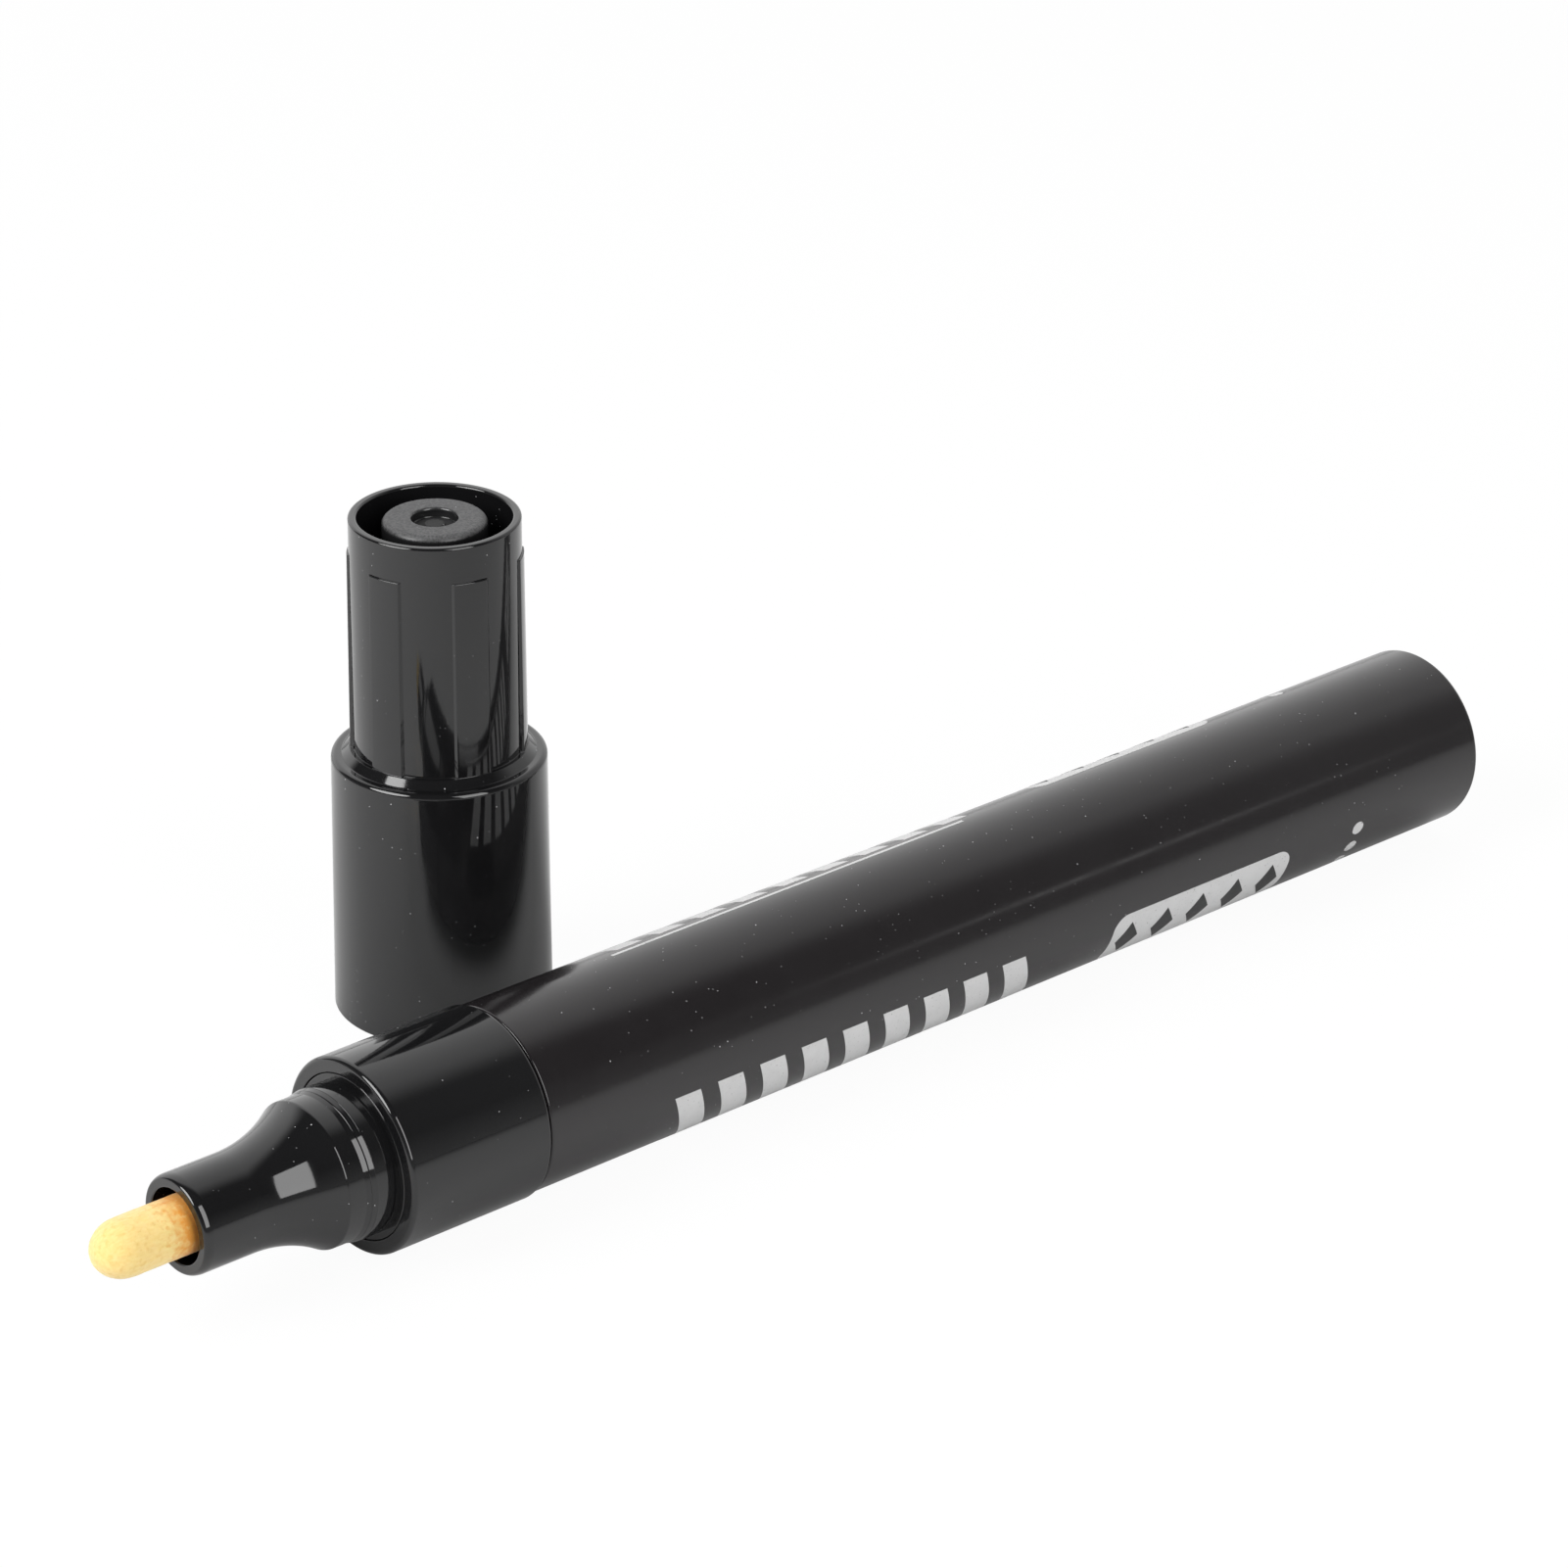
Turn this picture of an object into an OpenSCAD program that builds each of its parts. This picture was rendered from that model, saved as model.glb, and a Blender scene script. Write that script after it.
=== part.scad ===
// Livestock paint marker with a valve tip, lying uncapped, and its cap standing beside it.
// Millimetres. +Z is up, the marker lies along X with its nib towards -X, and the floor is z = 0.
// The origin is on the floor, below the middle of the whole.

/* [Barrel] */
// Outer diameter of the barrel
barrel_d = 15; // [14:0.1:18]
// Length of the barrel from the seam to its rear end
barrel_length = 100.25; // [80:0.05:130]
// Wall of the drawn tube
barrel_wall = 0.5; // [0.3:0.05:0.8]
// Thickness of the closed rear end
barrel_end_wall = 0.8; // [0.5:0.1:1.5]
// Rounding of the rear edge
barrel_edge_r = 0.4; // [0.2:0.1:1.2]
// Rounding of the front lip at the seam
barrel_lip_r = 0.2; // [0.05:0.05:0.25]

/* [Front collar] */
// How far the collar stands proud of the barrel
collar_step = 0.2; // [0.1:0.05:0.4]
// Length of the collar in front of the seam
collar_length = 13; // [11:0.5:16]
// Rounding of the collar's front edge
collar_front_r = 0.4; // [0.2:0.05:0.6]
// Rounding of the collar's edge at the seam
collar_rear_r = 0.25; // [0.05:0.05:0.3]
// Width of the groove that shows at the seam
seam_gap = 0.15; // [0.05:0.05:0.3]
// Width of the face that the barrel's front end seats on, inside that groove
seam_seat = 0.2; // [0.1:0.05:0.25]
// Length of the spigot that is pressed into the barrel
spigot_length = 9; // [6:0.5:12]
// Number of sealing beads round the spigot
bead_count = 3; // [2:1:4]
// Width of a sealing bead at its foot
bead_width = 1.4; // [0.8:0.1:1.5]
// Height of a sealing bead over the spigot
bead_height = 0.25; // [0.1:0.05:0.4]

/* [Nozzle] */
// Outer diameter of the straight tip
nozzle_tip_d = 7.8; // [7.4:0.1:8.6]
// Length of the straight tip
nozzle_tip_length = 5.15; // [4:0.05:8]
// Diameter of the open mouth round the nib
nozzle_mouth_d = 5.9; // [5.6:0.1:6.4]
// Depth of the open mouth
nozzle_mouth_depth = 4.6; // [3:0.1:6]
// Rounding of the tip's outer edge
nozzle_lip_r = 0.3; // [0.1:0.05:0.4]
// Diameter of the shoulder behind the flare
nozzle_shoulder_d = 11.5; // [10.8:0.1:11.8]
// Radius of the concave flare
nozzle_flare_r = 11.5; // [8:0.5:14]
// Rounding of the shoulder's edge
nozzle_shoulder_r = 0.35; // [0.1:0.05:0.5]
// Diameter of the base ring
nozzle_base_d = 11.9; // [11.8:0.1:12.4]
// Distance from the collar's face to the shoulder
nozzle_base_length = 4.3; // [3.5:0.1:6]
// Distance from the collar's face to the top of the base ring
nozzle_ring_length = 1.95; // [1.5:0.05:2.2]
// Length of the cone between the base ring and the shoulder's land
nozzle_ring_cone = 0.85; // [0.6:0.05:1.1]
// Depth and half width of the fine groove round that cone
nozzle_groove = 0.12; // [0.05:0.01:0.15]
// Diameter of the flange that seats in the collar
nozzle_flange_d = 13; // [12.6:0.1:13.4]
// Thickness of that flange
nozzle_flange_t = 1.4; // [1:0.1:2]
// How far the flange lies below the collar's face
nozzle_flange_sink = 0.2; // [0:0.05:0.5]
// Outer diameter of the shank inside the collar
nozzle_shank_d = 10.4; // [10:0.1:10.8]
// Wall of the shank
nozzle_shank_wall = 1; // [0.7:0.1:1.3]
// Length of the shank below the flange
nozzle_shank_length = 6.4; // [5:0.1:8]
// Length of the bore that guides the nib
guide_length = 10; // [7:0.5:12]
// Number of paint channels along the guide
channel_count = 4; // [3:1:6]
// Diameter of a paint channel
channel_d = 1.2; // [0.8:0.1:1.4]

/* [Nib] */
// Diameter of the felt nib
nib_d = 4.5; // [4:0.1:5]
// How far the nib stands out of the nozzle
nib_reach = 7.05; // [5:0.05:9]
// Length of the nib's rounded end
nib_tip_length = 2.6; // [2:0.1:3.5]
// Chamfer round the nib's rear end
nib_rear_chamfer = 0.3; // [0.1:0.05:0.5]
// How far the nib can be pressed in
nib_travel = 2.5; // [1.5:0.1:3]

/* [Valve] */
// Thickness of the valve seat's disc
seat_t = 1.6; // [1.2:0.1:2.4]
// Diameter of the hole through the seat
seat_hole_d = 3.8; // [3.4:0.1:4.2]
// Outer diameter of the seat's sealing lip
seat_lip_d = 6; // [5.4:0.1:6.4]
// Height of the seat's sealing lip
seat_lip_h = 0.8; // [0.5:0.1:0.9]
// Diameter of the plunger's head
plunger_head_d = 5.6; // [5.2:0.1:6]
// Thickness of the plunger's head
plunger_head_t = 1.2; // [0.8:0.1:2]
// Diameter of the plunger's stem
plunger_stem_d = 2.4; // [1.8:0.1:2.8]
// Diameter of the pad that carries the nib
plunger_pad_d = 4; // [3.6:0.1:4.4]
// Thickness of that pad
plunger_pad_t = 0.8; // [0.5:0.1:1.2]
// Length of the boss that centres the spring
plunger_boss_length = 3; // [1:0.5:4]
// Outer diameter of the spring cage
cage_d = 9.2; // [8.6:0.1:9.6]
// Wall of the spring cage
cage_wall = 0.9; // [0.6:0.1:1.1]
// Thickness of the cage's flange
cage_flange_t = 1; // [0.8:0.1:1.5]
// Thickness of the cage's floor
cage_floor_t = 1.2; // [0.8:0.1:2]
// How far the cage reaches past the spigot
cage_reach = 7; // [5:0.5:10]
// Number of windows round the cage
window_count = 4; // [2:1:5]
// Width of a window
window_width = 3; // [1.5:0.1:3.4]
// Solid ring left at each end of the windows
window_margin = 1; // [0.5:0.1:1.2]
// Wire diameter of the spring
wire_d = 0.5; // [0.3:0.05:0.6]
// Mean diameter of the spring
spring_d = 4.6; // [4.2:0.1:4.8]
// Turns of the spring between its closed ends
active_turns = 7; // [5:1:8]

/* [Mixing ball] */
// Diameter of the steel ball
ball_d = 6; // [4:0.5:8]

/* [Cap] */
// Wall of the cap's sleeve at its mouth
cap_wall = 0.95; // [0.7:0.05:1.4]
// How much the sleeve narrows towards its shoulder
sleeve_draft = 0.2; // [0:0.02:0.3]
// How far the mouth reaches past the seam when the cap is on
cap_overlap = 1.5; // [1.2:0.1:2.5]
// Height of the sleeve above the collar when the cap is on
sleeve_beyond = 7.45; // [6:0.05:9]
// Thickness of the sleeve's shoulder
shoulder_t = 1.5; // [1:0.1:2]
// Rounding of the shoulder's outer edge
shoulder_r = 0.35; // [0.2:0.05:0.8]
// Rounding of the mouth's outer edge
mouth_r = 0.15; // [0.05:0.05:0.25]
// Outer diameter of the narrow tube at its rim
tube_d = 13.45; // [12.8:0.05:13.8]
// How much the tube widens towards its foot
tube_draft = 0.02; // [0:0.02:0.2]
// Wall of the narrow tube at its rim
tube_wall = 0.7; // [0.65:0.05:0.9]
// Rounding of the rim
rim_r = 0.2; // [0.1:0.05:0.3]
// Height of the coned step at the foot of the tube
foot_height = 0.6; // [0.4:0.05:1]
// How far the step's cone reaches out over the shoulder
foot_reach = 0.6; // [0.3:0.05:0.8]
// How far the step's ledge stands out past the ribs
foot_lip = 0.08; // [0.05:0.01:0.15]
// Number of grip ribs round the tube
rib_count = 6; // [4:1:8]
// Width of a grip rib
rib_width = 2.8; // [1.5:0.1:3.2]
// Height of a grip rib over the tube
rib_height = 0.26; // [0.15:0.01:0.4]
// Slope of a rib's flank, sideways for its height
rib_flank = 0.1; // [0:0.05:0.4]
// How far the ribs end below the rim
rib_drop = 3; // [2:0.5:6]
// Turn of the first rib about the cap's axis
rib_turn = 16; // [0:1:59]
// How far the snap bead bites behind the collar
snap_bite = 0.08; // [0.02:0.01:0.09]
// Height of the snap bead along the cap
snap_length = 0.9; // [0.6:0.1:1.1]

/* [Inner seal] */
// Wall of the socket that closes round the nozzle
seal_wall = 0.9; // [0.7:0.05:1]
// Length of the socket's straight bore
socket_length = 5.2; // [4:0.1:6]
// Height of the socket's flared lead-in
socket_lead = 1.8; // [1.2:0.1:2]
// Sideways flare of the lead-in
socket_flare = 0.65; // [0.3:0.05:0.8]
// Thickness of the seal's flange
seal_flange_t = 1.2; // [0.8:0.1:2]
// Step that the flange is pressed up against
seal_ledge = 0.15; // [0.1:0.01:0.18]
// Number of vent notches in the flange
vent_count = 4; // [3:1:6]
// Width of a vent notch
vent_width = 2.4; // [1:0.1:3]
// Outer diameter of the seal's closed end
seal_end_d = 8.26; // [8:0.02:9]
// Rounding of the closed end
seal_end_r = 0.6; // [0.2:0.05:0.8]
// Thickness of the closed end
seal_end_wall = 1.9; // [1.4:0.1:3]
// Room between the nib's side and the seal
nib_side_room = 0.75; // [0.5:0.05:0.9]
// Room between the nib's tip and the closed end
nib_end_room = 2.6; // [1:0.1:4]
// How far the closed end lies below the rim
seal_sink = 0.17; // [0:0.01:1]
// Diameter of the gate dimple
dimple_d = 3.6; // [2:0.1:4]
// Depth of the gate dimple
dimple_depth = 0.8; // [0.3:0.1:1]
// Diameter of the gate mark in the dimple
gate_d = 1.6; // [0.8:0.1:1.8]
// Height of the gate mark
gate_h = 0.3; // [0.1:0.1:0.3]

/* [Layout] */
// Distance of the cap's axis behind the seam
cap_along = 16.6; // [0:0.1:60]
// Distance of the cap's axis from the marker's axis
cap_aside = 27.1; // [22:0.1:60]

/* [Clearances] */
// Radial room in a pressed joint
press_room = 0.03; // [0.01:0.01:0.05]
// Radial room of the nib in its guide
nib_room = 0.07; // [0.03:0.01:0.1]
// Room between the plunger and the seat's lip when closed
valve_room = 0.02; // [0.01:0.01:0.05]
// Room left at the end of the nib's travel
travel_room = 0.3; // [0.2:0.1:0.6]
// Room between the spring and its two seats
spring_room = 0.02; // [0.01:0.01:0.05]
// Room below the mixing ball
ball_room = 0.1; // [0.05:0.05:0.2]
// Radial room of the cap on the collar
cap_room = 0.08; // [0.05:0.01:0.15]
// Radial room of the inner seal on the nozzle
seal_room = 0.05; // [0.02:0.01:0.1]
// Radial room between the spring and the posts inside it
post_room = 0.3; // [0.1:0.05:0.4]
// Radial room between the cap's stop and the collar's recess
stop_room = 0.3; // [0.1:0.05:0.4]

/* [Hidden] */
$fn = 96;
// Overlap of cutting tools past the faces that they cut
past = 1;
// Steps in a quarter of a round profile
arc_steps = 8;

gloss_black = [0.06, 0.06, 0.065];
satin_black = [0.13, 0.13, 0.135];
seal_grey = [0.27, 0.27, 0.27];
felt_yellow = [0.95, 0.82, 0.55];
valve_white = [0.9, 0.9, 0.86];
steel = [0.75, 0.76, 0.78];

// Radii
barrel_r = barrel_d / 2;
bore_r = barrel_r - barrel_wall;
collar_r = barrel_r + collar_step;
nib_r = nib_d / 2;
guide_r = nib_r + nib_room;
tip_r = nozzle_tip_d / 2;
mouth_bore_r = nozzle_mouth_d / 2;
nozzle_shoulder = nozzle_shoulder_d / 2;
base_r = nozzle_base_d / 2;
flange_r = nozzle_flange_d / 2;
shank_r = nozzle_shank_d / 2;
chamber_r = shank_r - nozzle_shank_wall;
recess_r = flange_r + press_room;
cage_r = cage_d / 2;
cage_bore_r = cage_r - cage_wall;
wire_r = wire_d / 2;
spring_r = spring_d / 2;
boss_r = spring_r - wire_r - post_room;
ball_r = ball_d / 2;

// Stations along the marker's axis, from the seam towards the nib
shelf_z = collar_length - nozzle_flange_sink - nozzle_flange_t;
shank_z = shelf_z - nozzle_shank_length;
cage_top_z = shank_z - seat_t;
ledge_z = cage_top_z - cage_flange_t;
lip_z = cage_top_z - seat_lip_h;
cage_end_z = -spigot_length - cage_reach;
spring_seat_z = cage_end_z + cage_floor_t;
shoulder_z = collar_length + nozzle_base_length;
flare_rise = nozzle_shoulder - tip_r;
flare_h = sqrt(flare_rise * (2 * nozzle_flare_r - flare_rise));
tip_z = shoulder_z + flare_h + nozzle_tip_length;
guide_top_z = tip_z - nozzle_mouth_depth;
guide_z = guide_top_z - guide_length;
nib_tip_z = tip_z + nib_reach;
pad_z = shank_z + nib_travel + travel_room;
nib_rear_z = pad_z + plunger_pad_t;
head_z = lip_z - valve_room;
head_back_z = head_z - plunger_head_t;
ball_front_z = cage_end_z - ball_r - travel_room;
ball_rear_z = -barrel_length + barrel_end_wall + ball_r + travel_room;
ball_z = (ball_front_z + ball_rear_z) / 2;
ball_x = -(bore_r - ball_r - ball_room);

// Cap, from its mouth upwards. The marker's stations lie cap_overlap higher in it when it is on.
cap_bore_r = collar_r + cap_room;
cap_mouth_r = cap_bore_r + cap_wall;
cap_shoulder_r = cap_mouth_r - sleeve_draft;
snap_r = collar_r - snap_bite;
stop_z = cap_overlap + collar_length;
stop_r = recess_r + stop_room;
sleeve_h = stop_z + sleeve_beyond;
sleeve_top_z = sleeve_h - shoulder_t;
tube_r = tube_d / 2;
tube_foot_r = tube_r + tube_draft;
tube_bore_r = tube_r - tube_wall;
seal_seat_r = tube_bore_r + seal_ledge;
socket_r = tip_r + seal_room;
socket_top_z = cap_overlap + tip_z + travel_room;
socket_z = socket_top_z - socket_length;
seal_z = socket_z - socket_lead;
seal_ledge_z = seal_z + seal_flange_t;
nib_room_r = nib_r + nib_side_room;
nib_room_z = cap_overlap + nib_tip_z + nib_end_room;
seal_top_z = nib_room_z + seal_end_wall;
cap_h = seal_top_z + seal_sink;
seal_end = seal_end_d / 2;
seal_body_r = socket_r + seal_wall;
rib_top_z = cap_h - rib_drop;

// Places of the two halves on the floor, with the whole centred on the origin
seam_x = (nib_tip_z - barrel_length) / 2;
marker_y = (collar_r - cap_mouth_r - cap_aside) / 2;
cap_x = seam_x + cap_along;
cap_y = marker_y + cap_aside;

// Points of an arc from angle a to angle b about a centre
function arc(x, y, r, a, b) = [
    for (i = [0 : arc_steps]) let (t = a + (b - a) * i / arc_steps) [x + r * cos(t), y + r * sin(t)]
];

// Lay a shape drawn about Z down along the marker's axis, with +Z towards the nib
module lay_down() {
    translate([seam_x, marker_y, collar_r]) rotate([0, -90, 0]) children();
}

// Stand a shape drawn about Z where the cap stands
module stand_cap() {
    translate([cap_x, cap_y, 0]) children();
}

// Copies of a shape turned about Z
module ring_of(count, first = 0) {
    for (i = [0 : count - 1]) rotate([0, 0, first + i * 360 / count]) children();
}

module barrel() {
    rear_z = -barrel_length;
    color(satin_black) lay_down() rotate_extrude() polygon(concat(
        [[bore_r, 0]],
        arc(barrel_r - barrel_lip_r, -barrel_lip_r, barrel_lip_r, 90, 0),
        arc(barrel_r - barrel_edge_r, rear_z + barrel_edge_r, barrel_edge_r, 0, -90),
        [[0, rear_z], [0, rear_z + barrel_end_wall], [bore_r, rear_z + barrel_end_wall]]
    ));
}

// One sealing bead round the spigot, with sloping flanks
module sealing_bead(z, foot_r) {
    crest = bead_width / 4;
    rotate_extrude() polygon([
        [foot_r - bead_height, z - bead_width / 2], [foot_r, z - bead_width / 2],
        [foot_r + bead_height, z - crest], [foot_r + bead_height, z + crest],
        [foot_r, z + bead_width / 2], [foot_r - bead_height, z + bead_width / 2]
    ]);
}

module front_collar() {
    spigot_r = bore_r - press_room - bead_height;
    shank_bore_r = shank_r + press_room;
    cage_hole_r = cage_r + press_room;
    seam_r = bore_r + seam_seat;
    bead_pitch = spigot_length / bead_count;
    color(gloss_black) lay_down() {
        rotate_extrude() polygon(concat(
            [
                [cage_hole_r, -spigot_length], [spigot_r, -spigot_length], [spigot_r, 0],
                [seam_r, 0], [seam_r, seam_gap]
            ],
            arc(collar_r - collar_rear_r, seam_gap + collar_rear_r, collar_rear_r, -90, 0),
            arc(collar_r - collar_front_r, collar_length - collar_front_r, collar_front_r, 0, 90),
            [
                [recess_r, collar_length], [recess_r, shelf_z], [shank_bore_r, shelf_z],
                [shank_bore_r, ledge_z], [cage_hole_r, ledge_z]
            ]
        ));
        for (i = [0 : bead_count - 1]) sealing_bead(-bead_pitch * (i + 0.5), spigot_r);
    }
}

module nozzle() {
    face_z = collar_length - nozzle_flange_sink;
    ring_z = collar_length + nozzle_ring_length;
    land_z = ring_z + nozzle_ring_cone;
    groove_z = ring_z + nozzle_ring_cone / 2;
    groove_r = (base_r + nozzle_shoulder) / 2;
    flare_z = shoulder_z + flare_h;
    // Centre of the concave flare, level with its upper end
    flare_x = tip_r + nozzle_flare_r;
    // Centre of the shoulder's rounding, which meets the land and the flare smoothly
    round_x = nozzle_shoulder - nozzle_shoulder_r;
    round_reach = nozzle_flare_r + nozzle_shoulder_r;
    round_turn = acos((flare_x - round_x) / round_reach);
    round_z = flare_z - round_reach * sin(round_turn);
    color(gloss_black) lay_down() difference() {
        rotate_extrude() polygon(concat(
            [
                [chamber_r, shank_z], [shank_r, shank_z], [shank_r, shelf_z], [flange_r, shelf_z],
                [flange_r, face_z], [base_r, face_z], [base_r, ring_z],
                [groove_r, groove_z - nozzle_groove], [groove_r - nozzle_groove, groove_z],
                [groove_r, groove_z + nozzle_groove], [nozzle_shoulder, land_z]
            ],
            arc(round_x, round_z, nozzle_shoulder_r, 0, round_turn),
            arc(flare_x, flare_z, nozzle_flare_r, 180 + round_turn, 180),
            arc(tip_r - nozzle_lip_r, tip_z - nozzle_lip_r, nozzle_lip_r, 0, 90),
            [
                [mouth_bore_r, tip_z], [mouth_bore_r, guide_top_z], [guide_r, guide_top_z],
                [guide_r, guide_z], [chamber_r, guide_z]
            ]
        ));
        ring_of(channel_count) translate([guide_r, 0, guide_z - past])
            cylinder(d = channel_d, h = guide_length + 2 * past);
    }
}

module nib() {
    round_z = nib_tip_z - nib_tip_length;
    color(felt_yellow) lay_down() rotate_extrude() polygon(concat(
        [[0, nib_rear_z], [nib_r - nib_rear_chamfer, nib_rear_z], [nib_r, nib_rear_z + nib_rear_chamfer]],
        [for (t = [0 : 5 : 90]) [nib_r * cos(t), round_z + nib_tip_length * sin(t)]]
    ));
}

module valve_seat() {
    seat_hole_r = seat_hole_d / 2;
    seat_lip_r = seat_lip_d / 2;
    color(valve_white) lay_down() rotate_extrude() polygon([
        [seat_hole_r, lip_z], [seat_lip_r - seat_lip_h / 2, lip_z], [seat_lip_r, cage_top_z],
        [shank_r, cage_top_z], [shank_r, shank_z], [seat_hole_r + seat_t / 2, shank_z],
        [seat_hole_r, shank_z - seat_t / 2]
    ]);
}

module valve_plunger() {
    stem_r = plunger_stem_d / 2;
    head_r = plunger_head_d / 2;
    pad_r = plunger_pad_d / 2;
    boss_end_z = head_back_z - plunger_boss_length;
    boss_chamfer = boss_r / 3;
    color(valve_white) lay_down() rotate_extrude() polygon([
        [0, boss_end_z], [boss_r - boss_chamfer, boss_end_z], [boss_r, boss_end_z + boss_chamfer],
        [boss_r, head_back_z], [head_r, head_back_z], [head_r, head_z], [stem_r, head_z],
        [stem_r, pad_z], [pad_r, pad_z], [pad_r, nib_rear_z], [0, nib_rear_z]
    ]);
}

module valve_cage() {
    window_top_z = -spigot_length - window_margin;
    window_low_z = spring_seat_z + window_margin;
    post_root_z = cage_end_z + cage_floor_t / 2;
    color(valve_white) lay_down() {
        difference() {
            rotate_extrude() polygon([
                [0, cage_end_z], [cage_r, cage_end_z], [cage_r, ledge_z], [shank_r, ledge_z],
                [shank_r, cage_top_z], [cage_bore_r, cage_top_z], [cage_bore_r, spring_seat_z],
                [0, spring_seat_z]
            ]);
            ring_of(window_count) translate([0, -window_width / 2, window_low_z])
                cube([cage_r + past, window_width, window_top_z - window_low_z]);
        }
        // Post that centres the spring's rear end, rooted in the floor
        translate([0, 0, post_root_z]) cylinder(r = boss_r, h = spring_seat_z + boss_r - post_root_z);
    }
}

// Height of the wire's centre line after t turns: one closed turn at each end, an even coil between
function coil_z(t, low, high) =
    let (closed = wire_d, open_h = high - low - 2 * closed)
    t < 1 ? low + closed * t
    : t > active_turns + 1 ? high - closed * (active_turns + 2 - t)
    : low + closed + open_h * (t - 1) / active_turns;

module valve_spring() {
    sides = 8;
    steps = 20;
    low = spring_seat_z + wire_r + spring_room;
    high = head_back_z - wire_r - spring_room;
    rings = (active_turns + 2) * steps;
    points = [
        for (i = [0 : rings], k = [0 : sides - 1])
            let (a = 360 * i / steps, b = 360 * (k + 0.5) / sides, r = spring_r + wire_r * cos(b))
            [r * cos(a), r * sin(a), coil_z(i / steps, low, high) + wire_r * sin(b)]
    ];
    tube_faces = [
        for (i = [0 : rings - 1], k = [0 : sides - 1])
            let (n = (k + 1) % sides)
            [i * sides + k, i * sides + n, (i + 1) * sides + n, (i + 1) * sides + k]
    ];
    start_face = [for (k = [sides - 1 : -1 : 0]) k];
    end_face = [for (k = [0 : sides - 1]) rings * sides + k];
    color(steel) lay_down() polyhedron(points, concat(tube_faces, [start_face, end_face]));
}

module mixing_ball() {
    color(steel) lay_down() translate([ball_x, 0, ball_z]) sphere(r = ball_r);
}

// Wedge across one rib, from inside the tube's wall out past the rib's face
module rib_wedge() {
    root_x = tube_bore_r;
    top_x = tube_foot_r + rib_height;
    end_x = top_x + past;
    half = rib_width / 2;
    root_half = half + rib_flank / rib_height * (top_x - root_x);
    linear_extrude(cap_h) polygon([
        [root_x, -root_half], [top_x, -half], [end_x, -half],
        [end_x, half], [top_x, half], [root_x, root_half]
    ]);
}

// Turned band that the ribs are cut from, following the tube's draft down into the step at its foot
module rib_band() {
    top_round = rib_height / 4;
    draft_at_top = tube_draft * rib_drop / (cap_h - sleeve_h);
    outer_r = tube_r + draft_at_top + rib_height;
    root_z = sleeve_h + foot_height / 2;
    rotate_extrude() polygon(concat(
        [[tube_bore_r + tube_wall / 2, root_z], [tube_foot_r + rib_height, root_z]],
        arc(outer_r - top_round, rib_top_z - top_round, top_round, 0, 90),
        [[tube_bore_r + tube_wall / 2, rib_top_z]]
    ));
}

module cap_shell() {
    snap_mid = cap_overlap - snap_length / 2;
    snap_low = snap_mid - snap_length / 2;
    ledge_r = tube_foot_r + rib_height + foot_lip;
    ledge_z = sleeve_h + foot_height;
    color(gloss_black) stand_cap() {
        rotate_extrude() polygon(concat(
            arc(cap_mouth_r - mouth_r, mouth_r, mouth_r, -90, 0),
            arc(cap_shoulder_r - shoulder_r, sleeve_h - shoulder_r, shoulder_r, 0, 90),
            [[ledge_r + foot_reach, sleeve_h], [ledge_r, ledge_z], [tube_foot_r, ledge_z]],
            arc(tube_r - rim_r, cap_h - rim_r, rim_r, 0, 90),
            arc(tube_bore_r + rim_r, cap_h - rim_r, rim_r, 90, 180),
            [
                [tube_bore_r, seal_ledge_z], [seal_seat_r, seal_ledge_z], [seal_seat_r, sleeve_top_z],
                [stop_r, sleeve_top_z], [stop_r, stop_z], [cap_bore_r, stop_z], [cap_bore_r, cap_overlap],
                [snap_r, snap_mid], [cap_bore_r, snap_low], [cap_bore_r, 0]
            ]
        ));
        intersection() {
            rib_band();
            ring_of(rib_count, rib_turn) rib_wedge();
        }
    }
}

module cap_inner_seal() {
    flange = seal_seat_r - press_room;
    vent_floor_r = seal_body_r + press_room;
    neck_z = socket_top_z + seal_wall;
    color(seal_grey) stand_cap() difference() {
        rotate_extrude() polygon(concat(
            [
                [socket_r + socket_flare, seal_z], [flange, seal_z], [flange, seal_ledge_z],
                [seal_body_r, seal_ledge_z], [seal_body_r, neck_z], [seal_end, neck_z + seal_wall]
            ],
            arc(seal_end - seal_end_r, seal_top_z - seal_end_r, seal_end_r, 0, 90),
            [
                [0, seal_top_z], [0, nib_room_z], [nib_room_r, nib_room_z], [nib_room_r, socket_top_z],
                [socket_r, socket_top_z], [socket_r, socket_z]
            ]
        ));
        translate([0, 0, seal_top_z - dimple_depth]) difference() {
            cylinder(d = dimple_d, h = dimple_depth + past);
            translate([0, 0, -past]) cylinder(d = gate_d, h = gate_h + past);
        }
        ring_of(vent_count) translate([vent_floor_r, -vent_width / 2, seal_z - past])
            cube([seal_seat_r, vent_width, seal_flange_t + 2 * past]);
    }
}

barrel();
front_collar();
nozzle();
nib();
valve_seat();
valve_plunger();
valve_spring();
valve_cage();
mixing_ball();
cap_shell();
cap_inner_seal();
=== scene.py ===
"""Looks of a livestock paint marker, lying uncapped with its cap standing beside it."""
import math

import bpy
from mathutils import Matrix, Vector, noise


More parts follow.
